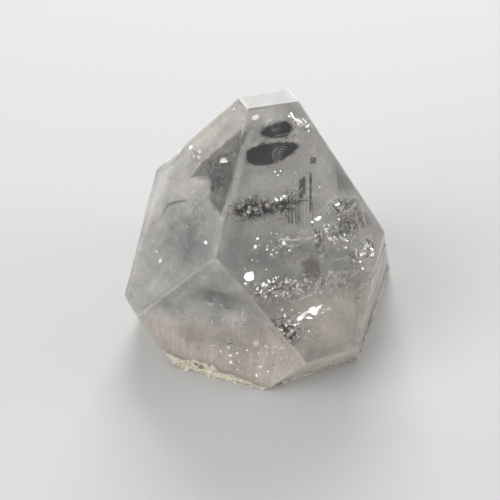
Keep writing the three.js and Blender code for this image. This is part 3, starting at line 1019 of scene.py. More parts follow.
FILM_STEP = 0.12  # mm between grid points
FILM_SHALLOWEST = 0.5  # mm under the face
FILM_SEED = 400
CRUMB_SEED = 470
FILMS = [  # face, across, up, half width and height, turn, depth, tilt, crumple, folds along and across
    ("front_right", -8.4, 19.5, 3.3, 1.9, -8, 1.2, 0.3, 0.4, 0.5, 0.45),
    ("front_right", -4.7, 18.9, 4.0, 1.05, -6, 1.2, 0.2, 0.3, 0.8, 0.4),
    ("front_right", 1.1, 12.3, 0.7, 2.9, 8, 1.2, 0.2, 0.3, 0.35, 0.7),
    ("front_right", 7.8, 9.7, 2.6, 1.3, 24, 1.0, 0.2, 0.3, 0.5, 0.4),
    ("front_right", 6.7, 14.0, 2.4, 1.5, 4, 1.4, 0.5, 0.22, 0.3, 2.5),
    ("front_right", 5.9, 16.9, 2.8, 1.2, -4, 1.6, 0.9, 0.3, 1.6, 0.9),
    ("front_right", 2.6, 24.3, 0.8, 0.5, -20, 0.8, 0.2, 0.2, 0.5, 0.4),
    ("front_left", 2.6, 21.8, 3.4, 2.6, 70, 1.5, 0.5, 0.3, 0.8, 0.6),
    ("front_left", -3.5, 21.4, 2.3, 0.7, 12, 1.1, 0.2, 0.3, 0.5, 0.5),
    ("front", 6.0, 19.6, 2.2, 1.6, -35, 1.2, 0.3, 0.34, 0.5, 0.5),
    ("back_left", -1.5, 12.0, 4.0, 1.2, 15, 0.9, 0.2, 0.34, 0.6, 0.5),
    ("back_right", 2.0, 18.5, 3.2, 1.4, -25, 0.9, 0.3, 0.34, 0.6, 0.5),
    ("back_right", -6.0, 8.0, 2.6, 0.9, 12, 0.9, 0.2, 0.3, 0.6, 0.5),
    ("left", 3.0, 9.0, 3.0, 1.1, 8, 0.9, 0.2, 0.3, 0.6, 0.5),
]
CRUMBS = [  # the same, for the patches whose foil is white
    ("front_right", -7.4, 7.6, 4.9, 1.6, -8, 1.4, -0.3, 0.5, 0.5, 0.4),
    ("front_right", -3.1, 6.5, 2.5, 1.3, 35, 1.2, 0.3, 0.42, 0.45, 0.4),
    ("front_right", 0.9, 6.0, 2.4, 1.2, -8, 1.1, 0.2, 0.42, 0.4, 0.4),
    ("front_right", 4.4, 7.0, 3.1, 0.8, -5, 1.3, 0.2, 0.34, 0.6, 0.35),
    ("front_right", -6.6, 1.3, 3.7, 2.7, -42, 1.4, 0.4, 0.5, 0.5, 0.45),
    ("front_right", -4.0, -0.6, 2.6, 1.2, 5, 1.2, -0.2, 0.42, 0.45, 0.4),
    ("front_right", 1.4, 29.6, 1.7, 1.1, -35, 0.7, 0.8, 0.4, 0.7, 0.5),
    ("front_right", 7.9, 9.3, 2.4, 1.5, 24, 1.0, 0.2, 0.4, 0.45, 0.4),
    ("front_right", -2.8, 20.4, 3.4, 0.35, 33, 0.9, 0.2, 0.3, 0.4, 0.35),
    ("front_right", -8.6, 19.0, 1.9, 0.9, -10, 1.0, 0.2, 0.4, 0.4, 0.35),
]


def crumpled_film(name, across, up, wide, tall, turn, depth, tilt, crumple, along, over, seed):
    """A grid over an oval. Its depth is depth + tilt * way over + crumple * (1 - |wave|), which makes sharp
    folds, and cells outside a ragged oval are left out."""
    east = np.arange(-wide, wide + FILM_STEP, FILM_STEP)
    north = np.arange(-tall, tall + FILM_STEP, FILM_STEP)
    north, east = np.meshgrid(north, east, indexing="ij")
    place = np.stack([east, north], -1).reshape(-1, 2)
    folds = 1 - np.abs(swells(place / (along, over), 1.0, seed, 24))
    fine = swells(place, 0.45, seed + 1, 20)
    below = depth + tilt * north + (crumple * folds + 0.12 * crumple * fine).reshape(east.shape)
    lean = math.radians(turn)
    place_across = across + east * math.cos(lean) - north * math.sin(lean)
    place_up = up + east * math.sin(lean) + north * math.cos(lean)
    torn = 0.22 * swells(place, 0.9, seed + 2).reshape(east.shape)
    kept = np.hypot(east / wide, north / tall) + torn < 0.92
    return under_face(name, place_across, place_up, np.maximum(below, FILM_SHALLOWEST)), False, whole_cells(kept)


foil = crack_film("dark_foil", (0.06, 0.056, 0.052), (0.92, 0.91, 0.88), 1.0, 0.12, 0.36)
films = [crumpled_film(*row, FILM_SEED + 7 * index) for index, row in enumerate(FILMS)]
inner_piece("healed_cracks", films, foil)
crumb = crack_film("white_foil", (0.7, 0.68, 0.65), (0.99, 0.98, 0.95), 0.05, 0.3, 0.47)
crumbs = [crumpled_film(*row, CRUMB_SEED + 7 * index) for index, row in enumerate(CRUMBS)]
inner_piece("white_crumbs", crumbs, crumb)

# %% [markdown]
# The flakes are where the stone began to part. Each is a small angular plate. The named ones are the
# flashes that catch the eye. Finding their lean by trial is slow, but a mirror has a simple rule: it
# sends the light to the eye when it faces halfway between the two. Both bend where they pass a face, so
# the rule is used on the bent directions inside. The strewn ones waver about that lean, so some flash and
# some don't.

# %% Flakes
FLASHES = [  # face, across, up, half width, half length, turn
    ("front_right", -10.4, 10.2, 0.95, 0.7, 0), ("front_right", -10.9, 9.7, 0.5, 0.4, 40),
    ("front_right", -3.6, 2.55, 0.9, 0.32, 20), ("front_right", -2.7, 3.0, 1.1, 0.26, 8),
    ("front_right", -2.2, 2.1, 0.8, 0.2, -12), ("front_right", -1.4, 2.9, 0.9, 0.6, -20),
    ("front_right", -0.6, 3.2, 0.8, 0.3, 35), ("front_right", -0.4, 2.5, 0.8, 0.45, 10),
    ("front_right", 0.2, 3.6, 0.4, 0.35, 0), ("front_right", 0.9, 2.7, 0.45, 0.4, 0),
    ("front_right", -1.8, 1.7, 0.4, 0.1, 10), ("front_right", 1.6, 15.9, 0.7, 0.35, 10),
    ("front_right", 0.6, 15.6, 0.35, 0.15, -20), ("front_right", 3.8, 12.5, 0.4, 0.12, -40),
    ("front_right", 5.2, 17.2, 0.5, 0.22, 5), ("front_right", 2.7, 14.0, 0.45, 0.3, 20),
    ("front_right", 3.0, 12.7, 0.8, 0.3, -35), ("front_right", 5.0, 12.1, 0.9, 0.25, -40),
    ("front_right", 5.2, 10.8, 0.3, 0.22, -40), ("front_right", 6.1, 8.9, 0.8, 0.1, -50),
    ("front_right", -5.3, 31.9, 0.6, 0.35, 10), ("front_right", -6.9, 31.3, 0.5, 0.3, 20),
    ("front_right", 0.8, 30.5, 1.3, 0.14, -32), ("front_right", 1.7, 29.6, 0.9, 0.3, -50),
    ("front_right", 1.3, 29.0, 0.9, 0.18, 70), ("front_right", 2.4, 29.2, 0.8, 0.2, 10),
    ("front_right", 1.0, 29.9, 0.6, 0.35, -40), ("front_right", 2.0, 30.1, 0.5, 0.2, -30),
    ("front_right", 2.1, 28.9, 0.7, 0.3, 20), ("front_right", 1.1, 28.4, 0.5, 0.16, 35),
    ("front_right", 2.6, 28.6, 0.5, 0.14, 60), ("front_right", 0.2, 28.3, 0.4, 0.2, 20),
    ("front_right", 0.4, 31.1, 0.6, 0.15, -60), ("front_right", -7.4, -1.0, 0.4, 0.3, 0),
    ("front_right", -6.8, -1.2, 0.22, 0.22, 30), ("front_right", -11.3, 6.6, 0.4, 0.16, 10),
    ("front_right", -10.0, 6.8, 0.6, 0.14, 20), ("front_right", -8.6, 8.6, 0.5, 0.14, 60),
    ("front_right", -7.6, 8.9, 0.5, 0.12, -50), ("front_right", -3.4, 7.2, 0.5, 0.14, 60),
    ("front_right", 9.4, 8.7, 0.5, 0.3, 30), ("front_right", -8.2, 15.2, 0.25, 0.15, 30),
    ("front_left", -5.4, 21.5, 0.5, 0.3, 20), ("front_left", -3.1, 22.2, 0.35, 0.4, 0),
    ("front_left", -4.1, 20.8, 0.45, 0.25, 0), ("front_left", 2.4, 24.1, 0.9, 0.5, 10),
    ("front_left", 4.5, 32.2, 0.7, 0.4, 15), ("front_left", 3.3, 30.7, 0.7, 0.25, 20),
    ("front_left", -1.1, 30.6, 0.3, 0.25, 0), ("front_left", -2.5, 6.6, 0.5, 0.25, 60),
    ("front_left", 9.5, 15.6, 0.25, 0.2, 0), ("front_left", -4.6, 8.5, 0.22, 0.12, 0),
    ("front", 7.7, 10.3, 0.35, 0.35, 0), ("front", 0.2, 4.8, 0.25, 0.25, 0),
]
STREWN = [  # face, across, up, spread across and up, how many, waver in degrees
    ("front_right", 3.8, 13.0, 3.5, 3.5, 50, 3), ("front_right", -7.2, 7.6, 5.0, 1.6, 150, 4),
    ("front_right", -6.2, 1.2, 3.4, 3.0, 150, 4), ("front_right", 7.8, 9.0, 2.5, 2.0, 44, 4),
    ("front_right", 1.4, 29.4, 1.3, 0.9, 24, 4), ("front_right", -1.0, 23.5, 5.0, 1.5, 14, 8),
    ("front_right", -8.4, 19.2, 2.6, 1.4, 60, 7), ("front_right", 3.0, 6.4, 5.0, 1.4, 90, 4),
    ("front_right", -3.0, 6.8, 2.0, 1.6, 60, 4), ("front_right", -4.0, 13.5, 6.0, 3.0, 80, 6),
    ("front_right", 1.0, 8.0, 8.0, 8.0, 80, 8), ("front_right", -3.5, 20.0, 4.0, 0.6, 30, 6),
    ("front_left", -3.0, 21.5, 2.5, 1.2, 26, 5), ("front_left", 1.0, 12.0, 8.0, 9.0, 50, 10),
    ("front_left", -3.0, 24.0, 4.0, 6.0, 24, 9), ("front_left", 4.0, 30.0, 2.5, 2.0, 10, 8),
    ("front", 1.0, 9.0, 10.0, 6.0, 50, 10), ("front", 2.0, 5.5, 6.0, 3.0, 40, 6),
    ("back_left", 0.0, 15.0, 8.0, 8.0, 50, 12), ("back_right", 0.0, 15.0, 8.0, 8.0, 50, 12),
    ("back", 0.0, 9.0, 8.0, 6.0, 40, 12), ("left", 0.0, 9.0, 9.0, 6.0, 40, 12),
]
FLAKE_SEED = 501
FLAKE_CORNERS = 6
FLAKE_DEPTH = (0.3, 0.75)  # mm
FLAKE_LEAST = 0.055  # mm: a strewn flake is at least this wide to each side
FLAKE_MORE = 0.075  # mm that the draw adds on average
KEY_COMPASS = 107.0
KEY_HEIGHT = 36.0


def way_to(compass, height):
    """A direction from its compass and its height above level, both in degrees."""
    turn, lift = math.radians(compass), math.radians(height)
    return np.array([math.cos(turn) * math.cos(lift), math.sin(turn) * math.cos(lift), math.sin(lift)])


def light_inside(face):
    """The way from inside to the key light through a face. Its part along the face shrinks by the index."""
    key = way_to(KEY_COMPASS, KEY_HEIGHT)
    out, _, _ = directions(face)
    cosine = key @ out
    return key / IOR + (math.sqrt(1 - (1 - cosine ** 2) / IOR ** 2) - cosine / IOR) * out


def first_face(middle, way):
    """The name of the face that a straight line from inside reaches first."""
    names = list(FACES)
    outs = np.array([directions(FACES[name])[0] for name in names])
    reach = np.array([FACES[name][2] for name in names])
    pace = outs @ way
    return names[int(np.where(pace > 0, (reach - outs @ middle) / pace, np.inf).argmin())]


def mirror_normal(name, sight, middle):
    """Halfway between eye and light where light gets in through a back face, else square to the face."""
    for key in ("back_left", "back_right", "back", "left"):
        way = light_inside(FACES[key])
        if first_face(middle, way) == key:
            normal = way - sight
            return normal / np.linalg.norm(normal)
    return directions(FACES[name])[0]


def flake_disc(rng, name, across, up, wide, long, turn, waver):
    """The middle and the uneven rim of a small plate that mirrors the key light, give or take its waver.

    Its rim is drawn square to the sight, and each point then slides along the sight into the plate's plane,
    so the plate shows its whole outline however much it leans. One that would reach the skin is moved in."""
    out, right, way_up = directions(FACES[name])
    sight = bent_sight(FACES[name], FACES[name][2] * out + across * right + up * way_up)
    depth = np.array([rng.uniform(*FLAKE_DEPTH)])
    middle = under_face(name, np.array([across]), np.array([up]), depth)[0]
    normal = mirror_normal(name, sight, middle) + math.radians(waver) * rng.normal(size=3)
    swing = math.radians(turn)
    round_by = np.linspace(0, 2 * np.pi, FLAKE_CORNERS + 1)[:-1] + swing
    reach = rng.uniform(0.6, 1.25, FLAKE_CORNERS)
    east = wide * reach * np.cos(round_by)
    north = long * reach * np.sin(round_by)
    level = np.cross(sight, way_up)
    level /= np.linalg.norm(level)
    upright = np.cross(level, sight)
    flat = (east * math.cos(swing) - north * math.sin(swing))[:, None] * level
    flat = flat + (east * math.sin(swing) + north * math.cos(swing))[:, None] * upright
    rim = middle + flat - (flat @ normal / (sight @ normal))[:, None] * sight
    lift = max(0.0, FLAKE_DEPTH[0] - depth_in_stone(rim).min()) / -(sight @ out)
    return np.stack([np.repeat(middle[None], FLAKE_CORNERS, 0), rim]) + lift * sight, True, None


def all_flakes():
    """The named flashes and the strewn flakes round them."""
    rng = np.random.default_rng(FLAKE_SEED)
    rows = [(*row, 0) for row in FLASHES]
    for name, across, up, spread, rise, count, waver in STREWN:
        for _ in range(count):
            wide = FLAKE_LEAST + FLAKE_MORE * rng.exponential()
            place = (across + spread * rng.normal() / 2, up + rise * rng.normal() / 2)
            rows.append((name, *place, wide, wide * rng.uniform(0.4, 1.0), rng.uniform(0, 180), waver))
    return [flake_disc(rng, *row) for row in rows]


bright = crack_film("bright_flake", (0.9, 0.89, 0.88), (0.99, 0.985, 0.97), 0.7, 0.16, 0)
inner_piece("cleavage_flakes", all_flakes(), bright)

# %% [markdown]
# Tubes run upright, along the axis that the crystal grew on. They are hair-thin. The hollow ones are
# narrow dark mirrors, and the filled ones are pale.

# %% Tubes
DARK_TUBES = [  # across and up of the top on the face, length, radius
    (1.7, 22.7, 7.0, 0.2), (0.55, 22.3, 3.2, 0.26), (0.05, 22.1, 3.6, 0.3), (-0.35, 21.4, 8.2, 0.07),
    (-1.15, 21.0, 8.0, 0.08), (-1.75, 20.6, 7.4, 0.11), (-2.3, 20.2, 5.0, 0.12), (-2.85, 19.8, 3.4, 0.1),
    (1.2, 18.6, 5.0, 0.06), (-0.75, 20.6, 6.6, 0.05),
]
PALE_TUBES = [
    (1.15, 22.4, 8.0, 0.16), (0.75, 20.0, 6.4, 0.22), (-0.05, 19.0, 5.4, 0.16), (-0.8, 20.9, 7.8, 0.2),
    (-1.45, 20.6, 7.0, 0.18), (-2.05, 20.1, 5.0, 0.1), (0.4, 18.4, 5.8, 0.14),
]
DARK_TUBE_SEED = 520
PALE_TUBE_SEED = 530
TUBE_DEPTH = 0.6  # mm
TUBE_STEPS = 40
TUBE_SIDES = 12


def upright_tube(across, up, length, radius, seed):
    """Rings of points down the upright axis. The radius wavers by a fifth and closes at both ends."""
    top = under_face("front_right", np.array([across]), np.array([up]), np.array([TUBE_DEPTH + radius]))[0]
    share = np.linspace(0, 1, TUBE_STEPS)
    turn = np.linspace(0, 2 * np.pi, TUBE_SIDES + 1)[:-1]
    waver = 1 + 0.2 * swells(np.stack([share * length, share * 0 + seed], -1), 1.2, seed)
    width = radius * waver * np.sqrt(np.clip(1 - (2 * share - 1) ** 8, 0, 1))
    x = top[0] + width[:, None] * np.cos(turn)
    y = top[1] + width[:, None] * np.sin(turn)
    z = np.broadcast_to((top[2] - share * length)[:, None], x.shape)
    return np.stack([x, y, z], -1)[::-1], True, None


dark_tube = crack_film("dark_tube", (0.03, 0.028, 0.026), (0.2, 0.19, 0.18), 1.0, 0.16, 0)
pale_tube = crack_film("pale_tube", (0.9, 0.88, 0.85), (0.99, 0.985, 0.96), 0.0, 0.3, 0)
dark_rings = [upright_tube(*row, DARK_TUBE_SEED + index) for index, row in enumerate(DARK_TUBES)]
pale_rings = [upright_tube(*row, PALE_TUBE_SEED + index) for index, row in enumerate(PALE_TUBES)]
inner_piece("dark_tubes", dark_rings, dark_tube)
inner_piece("pale_tubes", pale_rings, pale_tube)

# %% [markdown]
# Near the top the level cleavage has opened in two lens-shaped gaps. Each gap is a mirror sheet whose
# own colour is nearly black, a painted shade for the darkness seen in it, so it looks darker than the
# milk round it, with level lines where the sheets step. One has rings round a point, like a pebble's in
# water, where the break began.

# %% Lens cracks and rings
LENSES = [  # depth, corners (across, up) on the front right face
    (0.6, [
        (-5, 29.5), (-4.2, 30.1), (-3.1, 30.45), (-0.9, 30.55), (-0.2, 30), (0.1, 29.2), (-1.1, 28.1),
        (-2.4, 28.35), (-3.5, 28.6), (-4.4, 29),
    ]),
    (0.7, [
        (-7.5, 27.5), (-6.4, 27.9), (-4.9, 28.05), (-2.4, 27.85), (-0.2, 27.4), (0.7, 26.6), (-0.2, 26),
        (-1.6, 25.4), (-3, 25.05), (-4.4, 25), (-5.9, 25.1), (-6.9, 25.4), (-7.6, 26), (-7.85, 26.7),
    ]),
    (0.8, [(1.7, 23.9), (2.3, 24.9), (3.1, 24.3), (2.6, 23.6)]),
]
LENS_STEP = 0.09  # mm between grid points
LENS_WANDER = 0.07  # mm by which the outline wanders
LENS_SEED = 540


def lens_crack(depth, outline, seed):
    """A smooth sheet with a gentle bow inside an outline: cells whose corners all lie inside are kept."""
    corners = np.array(outline)
    low, high = corners.min(0) - 0.2, corners.max(0) + 0.2
    east, north = np.meshgrid(np.arange(low[0], high[0], LENS_STEP), np.arange(low[1], high[1], LENS_STEP))
    place = np.stack([east, north], -1).reshape(-1, 2)
    wander = LENS_WANDER * swells(place, 0.9, seed).reshape(east.shape)
    inside = depth_inside(east, north, outline) + wander
    bow = depth + 0.12 * swells(place, 3.5, seed + 1).reshape(east.shape)
    kept = inside > 0
    return under_face("front_right", east, north, bow), False, whole_cells(kept)


def lens_painted_shade():
    """A near-black mirror, dark by its own colour: painted shade for the darkness seen in the gaps, with fine
    level lines where the sheets of the cleavage step.
    """
    material, tree, shader, _ = new_material("lens_painted_shade")
    lines = add_marks(tree, 0.34, 0.5, 0.75, stretch=(0.07, 0.07, 1))
    colour = mix_colours(tree, lines, (0.022, 0.018, 0.017), (0.15, 0.13, 0.12))
    tree.links.new(colour, shader.inputs["Base Color"])
    shader.inputs["Metallic"].default_value = 1.0
    shader.inputs["Roughness"].default_value = 0.2
    return material


lens_grids = [lens_crack(*row, LENS_SEED + 3 * index) for index, row in enumerate(LENSES)]
# the lens sheets carry painted shade: they are dark by their colour, not by what they mirror
inner_piece("lens_cracks", lens_grids, lens_painted_shade())

# %% [markdown]
# The finest cracks show as single lines: rings where the break began, curls, creases and dark hairs. Each
# is a narrow ribbon along a rounded line. Cutting the corners of a line three times over rounds it, which
# is quicker than a true curve and just as smooth at this size.

# %% Ribbons
RING_AT = (-2.3, 25.95)
RING_RADII = (0.3, 0.62, 0.98, 1.38)  # mm
PALE_RIBBONS = [  # face, depth, half width, points (across, up)
    ("front_right", 0.7, 0.135, [(-5.0, 14.4), (-3.6, 13.9), (-2.4, 13.7), (-1.4, 13.65)]),
    ("front_right", 0.7, 0.15, [(-0.9, 13.5), (0.0, 13.4), (1.2, 13.6)]),
    ("front_right", 0.7, 0.075, [(-4.7, 13.6), (-3.6, 13.0), (-2.6, 12.8), (-1.6, 12.9)]),
    ("front_right", 0.5, 0.075, [(-3.7, 28.35), (-1.8, 28.3), (0.1, 28.25)]),
    ("front_right", 0.5, 0.06, [(-3.0, 28.75), (-1.2, 28.7), (0.0, 28.75)]),
    ("front_right", 0.9, 0.09, [(2.0, 15.4), (2.5, 16.6), (3.6, 17.8), (5.4, 18.6)]),
    ("front_right", 0.8, 0.075, [(2.3, 15.6), (3.1, 16.8), (4.2, 17.5), (5.0, 17.9)]),
    ("front_right", 1.0, 0.06, [(2.7, 15.4), (3.6, 16.4), (4.8, 17.0)]),
    ("front_right", 0.9, 0.18, [(5.4, 15.7), (6.8, 15.9), (8.0, 16.8), (8.8, 17.9)]),
    ("front_right", 0.9, 0.12, [(5.9, 19.0), (7.2, 19.3), (8.4, 18.9), (8.9, 18.0)]),
    ("front_right", 0.8, 0.075, [(5.8, 22.6), (5.5, 21.0), (5.5, 18.9)]),
    ("front_right", 0.9, 0.105, [(6.4, 20.6), (6.35, 19.7), (6.4, 18.8)]),
    ("front_right", 0.9, 0.105, [(7.9, 15.4), (7.85, 14.0), (8.0, 12.7)]),
    ("front_right", 0.9, 0.15, [(9.0, 15.9), (8.9, 14.4), (9.1, 12.9)]),
    ("front_right", 0.8, 0.105, [(6.6, 10.3), (7.4, 9.7), (8.0, 9.1)]),
    ("front_right", 1.2, 0.15, [(2.1, 8.6), (1.7, 7.3), (1.5, 6.0)]),
    ("front_right", 0.8, 0.06, [(5.4, 4.0), (7.4, 4.6), (9.2, 5.4)]),
    ("front_right", 1.6, 0.15, [(-4.6, 4.9), (-1.6, 5.4), (1.2, 5.8), (3.4, 5.6)]),
    ("front", 0.6, 0.15, [(5.1, 7.8), (5.15, 6.4), (5.05, 5.0)]),
    ("front", 0.6, 0.105, [(3.3, 7.0), (3.25, 6.0), (3.3, 5.2)]),
    ("front", 0.6, 0.09, [(1.5, 16.1), (1.55, 14.2), (1.5, 12.6)]),
    ("front", 0.6, 0.075, [(0.2, 13.6), (0.2, 12.4), (0.25, 11.4)]),
    ("front", 0.6, 0.105, [(-3.1, 12.1), (-3.0, 11.7), (-3.1, 11.3)]),
    ("front_left", 0.8, 0.09, [(9.2, 14.6), (10.4, 14.9), (11.6, 14.4)]),
]
DARK_RIBBONS = [
    ("front_right", 0.6, 0.08, [(-2.2, 18.7), (-0.9, 19.0), (0.2, 18.95), (1.0, 18.5)]),
    ("front_right", 0.9, 0.12, [(6.2, 16.9), (7.0, 16.9), (7.8, 17.6)]),
    ("front_right", 1.0, 0.12, [(1.6, 14.8), (1.4, 13.2), (1.2, 11.8), (0.6, 10.6)]),
    ("front_right", 1.0, 0.06, [(2.2, 14.2), (1.9, 12.6), (1.6, 11.2)]),
    ("front_right", 1.0, 0.1, [(3.4, 14.6), (4.0, 13.8), (4.4, 13.0)]),
    ("front_right", 0.9, 0.05, [(2.9, 8.0), (4.8, 7.7), (6.6, 7.9)]),
    ("front_right", 0.9, 0.05, [(7.2, 6.0), (8.4, 6.3), (9.6, 6.1)]),
    ("front_right", 0.7, 0.06, [(-9.4, 3.6), (-7.6, 3.2), (-5.6, 3.1), (-4.4, 2.9)]),
    ("front_right", 0.9, 0.14, [(-4.6, 1.2), (-3.8, 0.6), (-3.3, 0.9)]),
    ("front_right", 0.9, 0.1, [(-5.2, 0.4), (-4.4, -0.2), (-3.8, 0.1)]),
    ("front_right", 0.6, 0.05, [(1.9, 25.2), (2.3, 24.6), (2.9, 24.0)]),
    ("front_left", 0.6, 0.07, [(-3.8, 10.2), (-3.7, 12.4), (-2.2, 13.9), (-0.3, 15.3)]),
    ("front", 0.5, 0.13, [(-0.9, 8.35), (-0.3, 8.3), (0.4, 8.35)]),
    ("front", 0.5, 0.04, [(-5.3, 8.75), (-4.8, 8.7), (-4.1, 8.75)]),
    ("front", 0.5, 0.09, [(6.2, 6.55), (6.5, 6.5), (6.9, 6.6)]),
    ("front", 0.5, 0.1, [(-1.3, 15.35), (-0.9, 15.3), (-0.3, 15.3)]),
    ("front", 0.5, 0.08, [(1.6, 12.9), (2.0, 12.9), (2.3, 13.0)]),
    ("right", 0.5, 0.06, [(-13, 9.6), (-8, 9.5), (-2, 9.7), (4, 9.6)]),
    ("right", 0.5, 0.05, [(-12, 14.2), (-6, 14.0), (1, 14.1)]),
    ("under_right", 0.5, 0.06, [(-9, 4.6), (-3, 4.4), (4, 4.6), (9, 4.5)]),
    ("under_right", 0.5, 0.05, [(-8, 6.6), (-2, 6.5), (5, 6.7)]),
]
HAIRS = [  # face, across, up, spread across and up, heading and stray in degrees, how many pale, dark
    ("front_right", -1.0, 12.0, 9.0, 7.0, -10, 40, 70, 14),
    ("front_right", 5.8, 14.0, 3.6, 4.0, 50, 35, 30, 14),
    ("front_right", -6.2, 19.3, 4.6, 1.2, 0, 40, 14, 12),
    ("front_right", 3.5, 5.0, 6.0, 4.0, 10, 30, 22, 8),
    ("front_right", -6.0, 1.5, 3.6, 3.0, -30, 40, 26, 8),
    ("front_right", -2.8, 20.6, 3.0, 0.8, 32, 30, 14, 8),
    ("front_right", 1.5, 29.4, 1.4, 1.2, 30, 40, 8, 2),
    ("front_left", 4.0, 13.0, 4.0, 6.0, 60, 30, 14, 3),
    ("front_left", -2.0, 22.0, 4.0, 3.0, 20, 40, 8, 2),
    ("front", 2.0, 5.0, 9.0, 4.0, 90, 6, 30, 3),
    ("front", 0.0, 13.0, 7.0, 6.0, 90, 6, 10, 2),
    ("front", 0.0, 7.0, 9.0, 6.0, 0, 8, 2, 8),
    ("back_left", 0.0, 14.0, 9.0, 9.0, 20, 50, 30, 8),
    ("back_right", 0.0, 14.0, 9.0, 9.0, -20, 50, 30, 8),
    ("back", 0.0, 9.0, 9.0, 6.0, 90, 10, 16, 6),
    ("left", 0.0, 9.0, 9.0, 6.0, 90, 10, 16, 6),
]
HAIR_SEED = 551
PALE_SEED = 560
DARK_SEED = 580
HAIR_LENGTH = (0.2, 1.1)  # mm
HAIR_WIDTH = (0.03, 0.065)  # mm, half of the whole
HAIR_DEPTH = (0.35, 0.8)  # mm


def rounded(line):
    """A line with its corners cut three times over, each time a quarter of the way along both sides."""
    line = np.array(line, float)
    for _ in range(3):
        near = 0.75 * line[:-1] + 0.25 * line[1:]
        far = 0.25 * line[:-1] + 0.75 * line[1:]
        line = np.concatenate([line[:1], np.stack([near, far], 1).reshape(-1, 2), line[-1:]])
    return line


def ribbon(face, depth, half_width, line, seed):
    """Three rows along a rounded line, whose width wavers and tapers to both ends as the root of a sine."""
    line = rounded(line)
    way = np.gradient(line, axis=0)
    way /= np.linalg.norm(way, axis=1, keepdims=True)
    steps = np.linalg.norm(np.diff(line, axis=0), axis=1)
    along = np.concatenate([[0], np.cumsum(steps)])
    taper = np.sqrt(np.clip(np.sin(np.pi * along / along[-1]), 0.01, 1))
    width = half_width * taper * (1 + 0.3 * swells(np.stack([along, along * 0], -1), 1.2, seed))
    side = np.array([-1, 0, 1])[:, None] * width
    lift = np.array([0, -0.6, 0])[:, None] * width
    across = line[:, 0] - side * way[:, 1]
    up = line[:, 1] + side * way[:, 0]
    return under_face(face, across, up, depth + lift), False, None


def strewn_hairs(rng, name, across, up, spread, rise, heading, stray, count):
    """Short bent lines: the heading turns evenly along each, by a random amount."""
    rows = []
    for _ in range(count):
        turn = math.radians(heading + stray * rng.normal()) + 0.7 * rng.normal() * np.array([0, 0.33, 0.67])
        steps = rng.uniform(*HAIR_LENGTH) / 3 * np.stack([np.cos(turn), np.sin(turn)], -1)
        start = np.array([across + spread * rng.normal() / 2, up + rise * rng.normal() / 2])
        line = start + np.concatenate([[[0, 0]], np.cumsum(steps, 0)])
        rows.append((name, rng.uniform(*HAIR_DEPTH), rng.uniform(*HAIR_WIDTH), line))
    return rows


def ring_line(radius):
    """Points along an arc round the spot where the break began. Wider rings are shorter arcs."""
    turn = np.linspace(math.radians(20 + 14 * radius), math.radians(300 - 60 * radius), 24)
    return np.stack([RING_AT[0] + radius * np.cos(turn), RING_AT[1] + 0.85 * radius * np.sin(turn)], -1)


PALE_RIBBONS += [("front_right", 0.5, 0.075, ring_line(radius)) for radius in RING_RADII]
hair_draw = np.random.default_rng(HAIR_SEED)
for *where, pale, dark in HAIRS:
    PALE_RIBBONS += strewn_hairs(hair_draw, *where, pale)
    DARK_RIBBONS += strewn_hairs(hair_draw, *where, dark)
pale_crease = crack_film("pale_crease", (0.9, 0.88, 0.85), (0.99, 0.985, 0.96), 0.0, 0.3, 0)
dark_crease = crack_film("dark_crease", (0.03, 0.028, 0.026), (0.16, 0.15, 0.14), 1.0, 0.2, 0)
pale_ribbons = [ribbon(*row, PALE_SEED + index) for index, row in enumerate(PALE_RIBBONS)]
dark_ribbons = [ribbon(*row, DARK_SEED + index) for index, row in enumerate(DARK_RIBBONS)]
inner_piece("pale_lines", pale_ribbons, pale_crease)
inner_piece("dark_lines", dark_ribbons, dark_crease)

# %% [markdown]
# ## The milk
#
# What makes the stone milky is a haze of tiny bubbles a little way under its faces. A true haze would be
# a volume that scatters light, which is slow and doesn't travel to other programs. Veils do it instead:
# thin white sheets up to five millimetres under the faces, whose opacity is painted with the same milk
# and broken up by noise. Where a window is, the veil is thin and the eye goes deep into the stone.

# %% Veils
VEILS = [  # face, depth, strength
    ("front_left", 1.0, 1.06), ("front_right", 4.4, 0.92), ("front", 1.1, 0.95), ("right", 1.4, 0.85),
    ("under_right", 0.8, 1.15), ("back_left", 1.2, 0.5), ("back_right", 1.2, 0.5), ("back", 1.2, 0.55),
    ("left", 1.2, 0.65), ("under_left", 1.0, 0.8),
]
SEEN = ("front_left", "front_right", "front", "right", "under_right")
VEIL_SEED = 600
VEIL_EVERY = 2  # one grid line of the skin in two
VEIL_NARROWEST = 0.05  # mm: rows narrower than this are left out
VEIL_LOWEST = 0.4  # mm above the base
VEIL_AT_EDGE = 0.3  # mm: how deep the veils are where they meet under an edge
VEIL_SLOPE = 1.1  # mm from the edge to where a veil has its whole depth


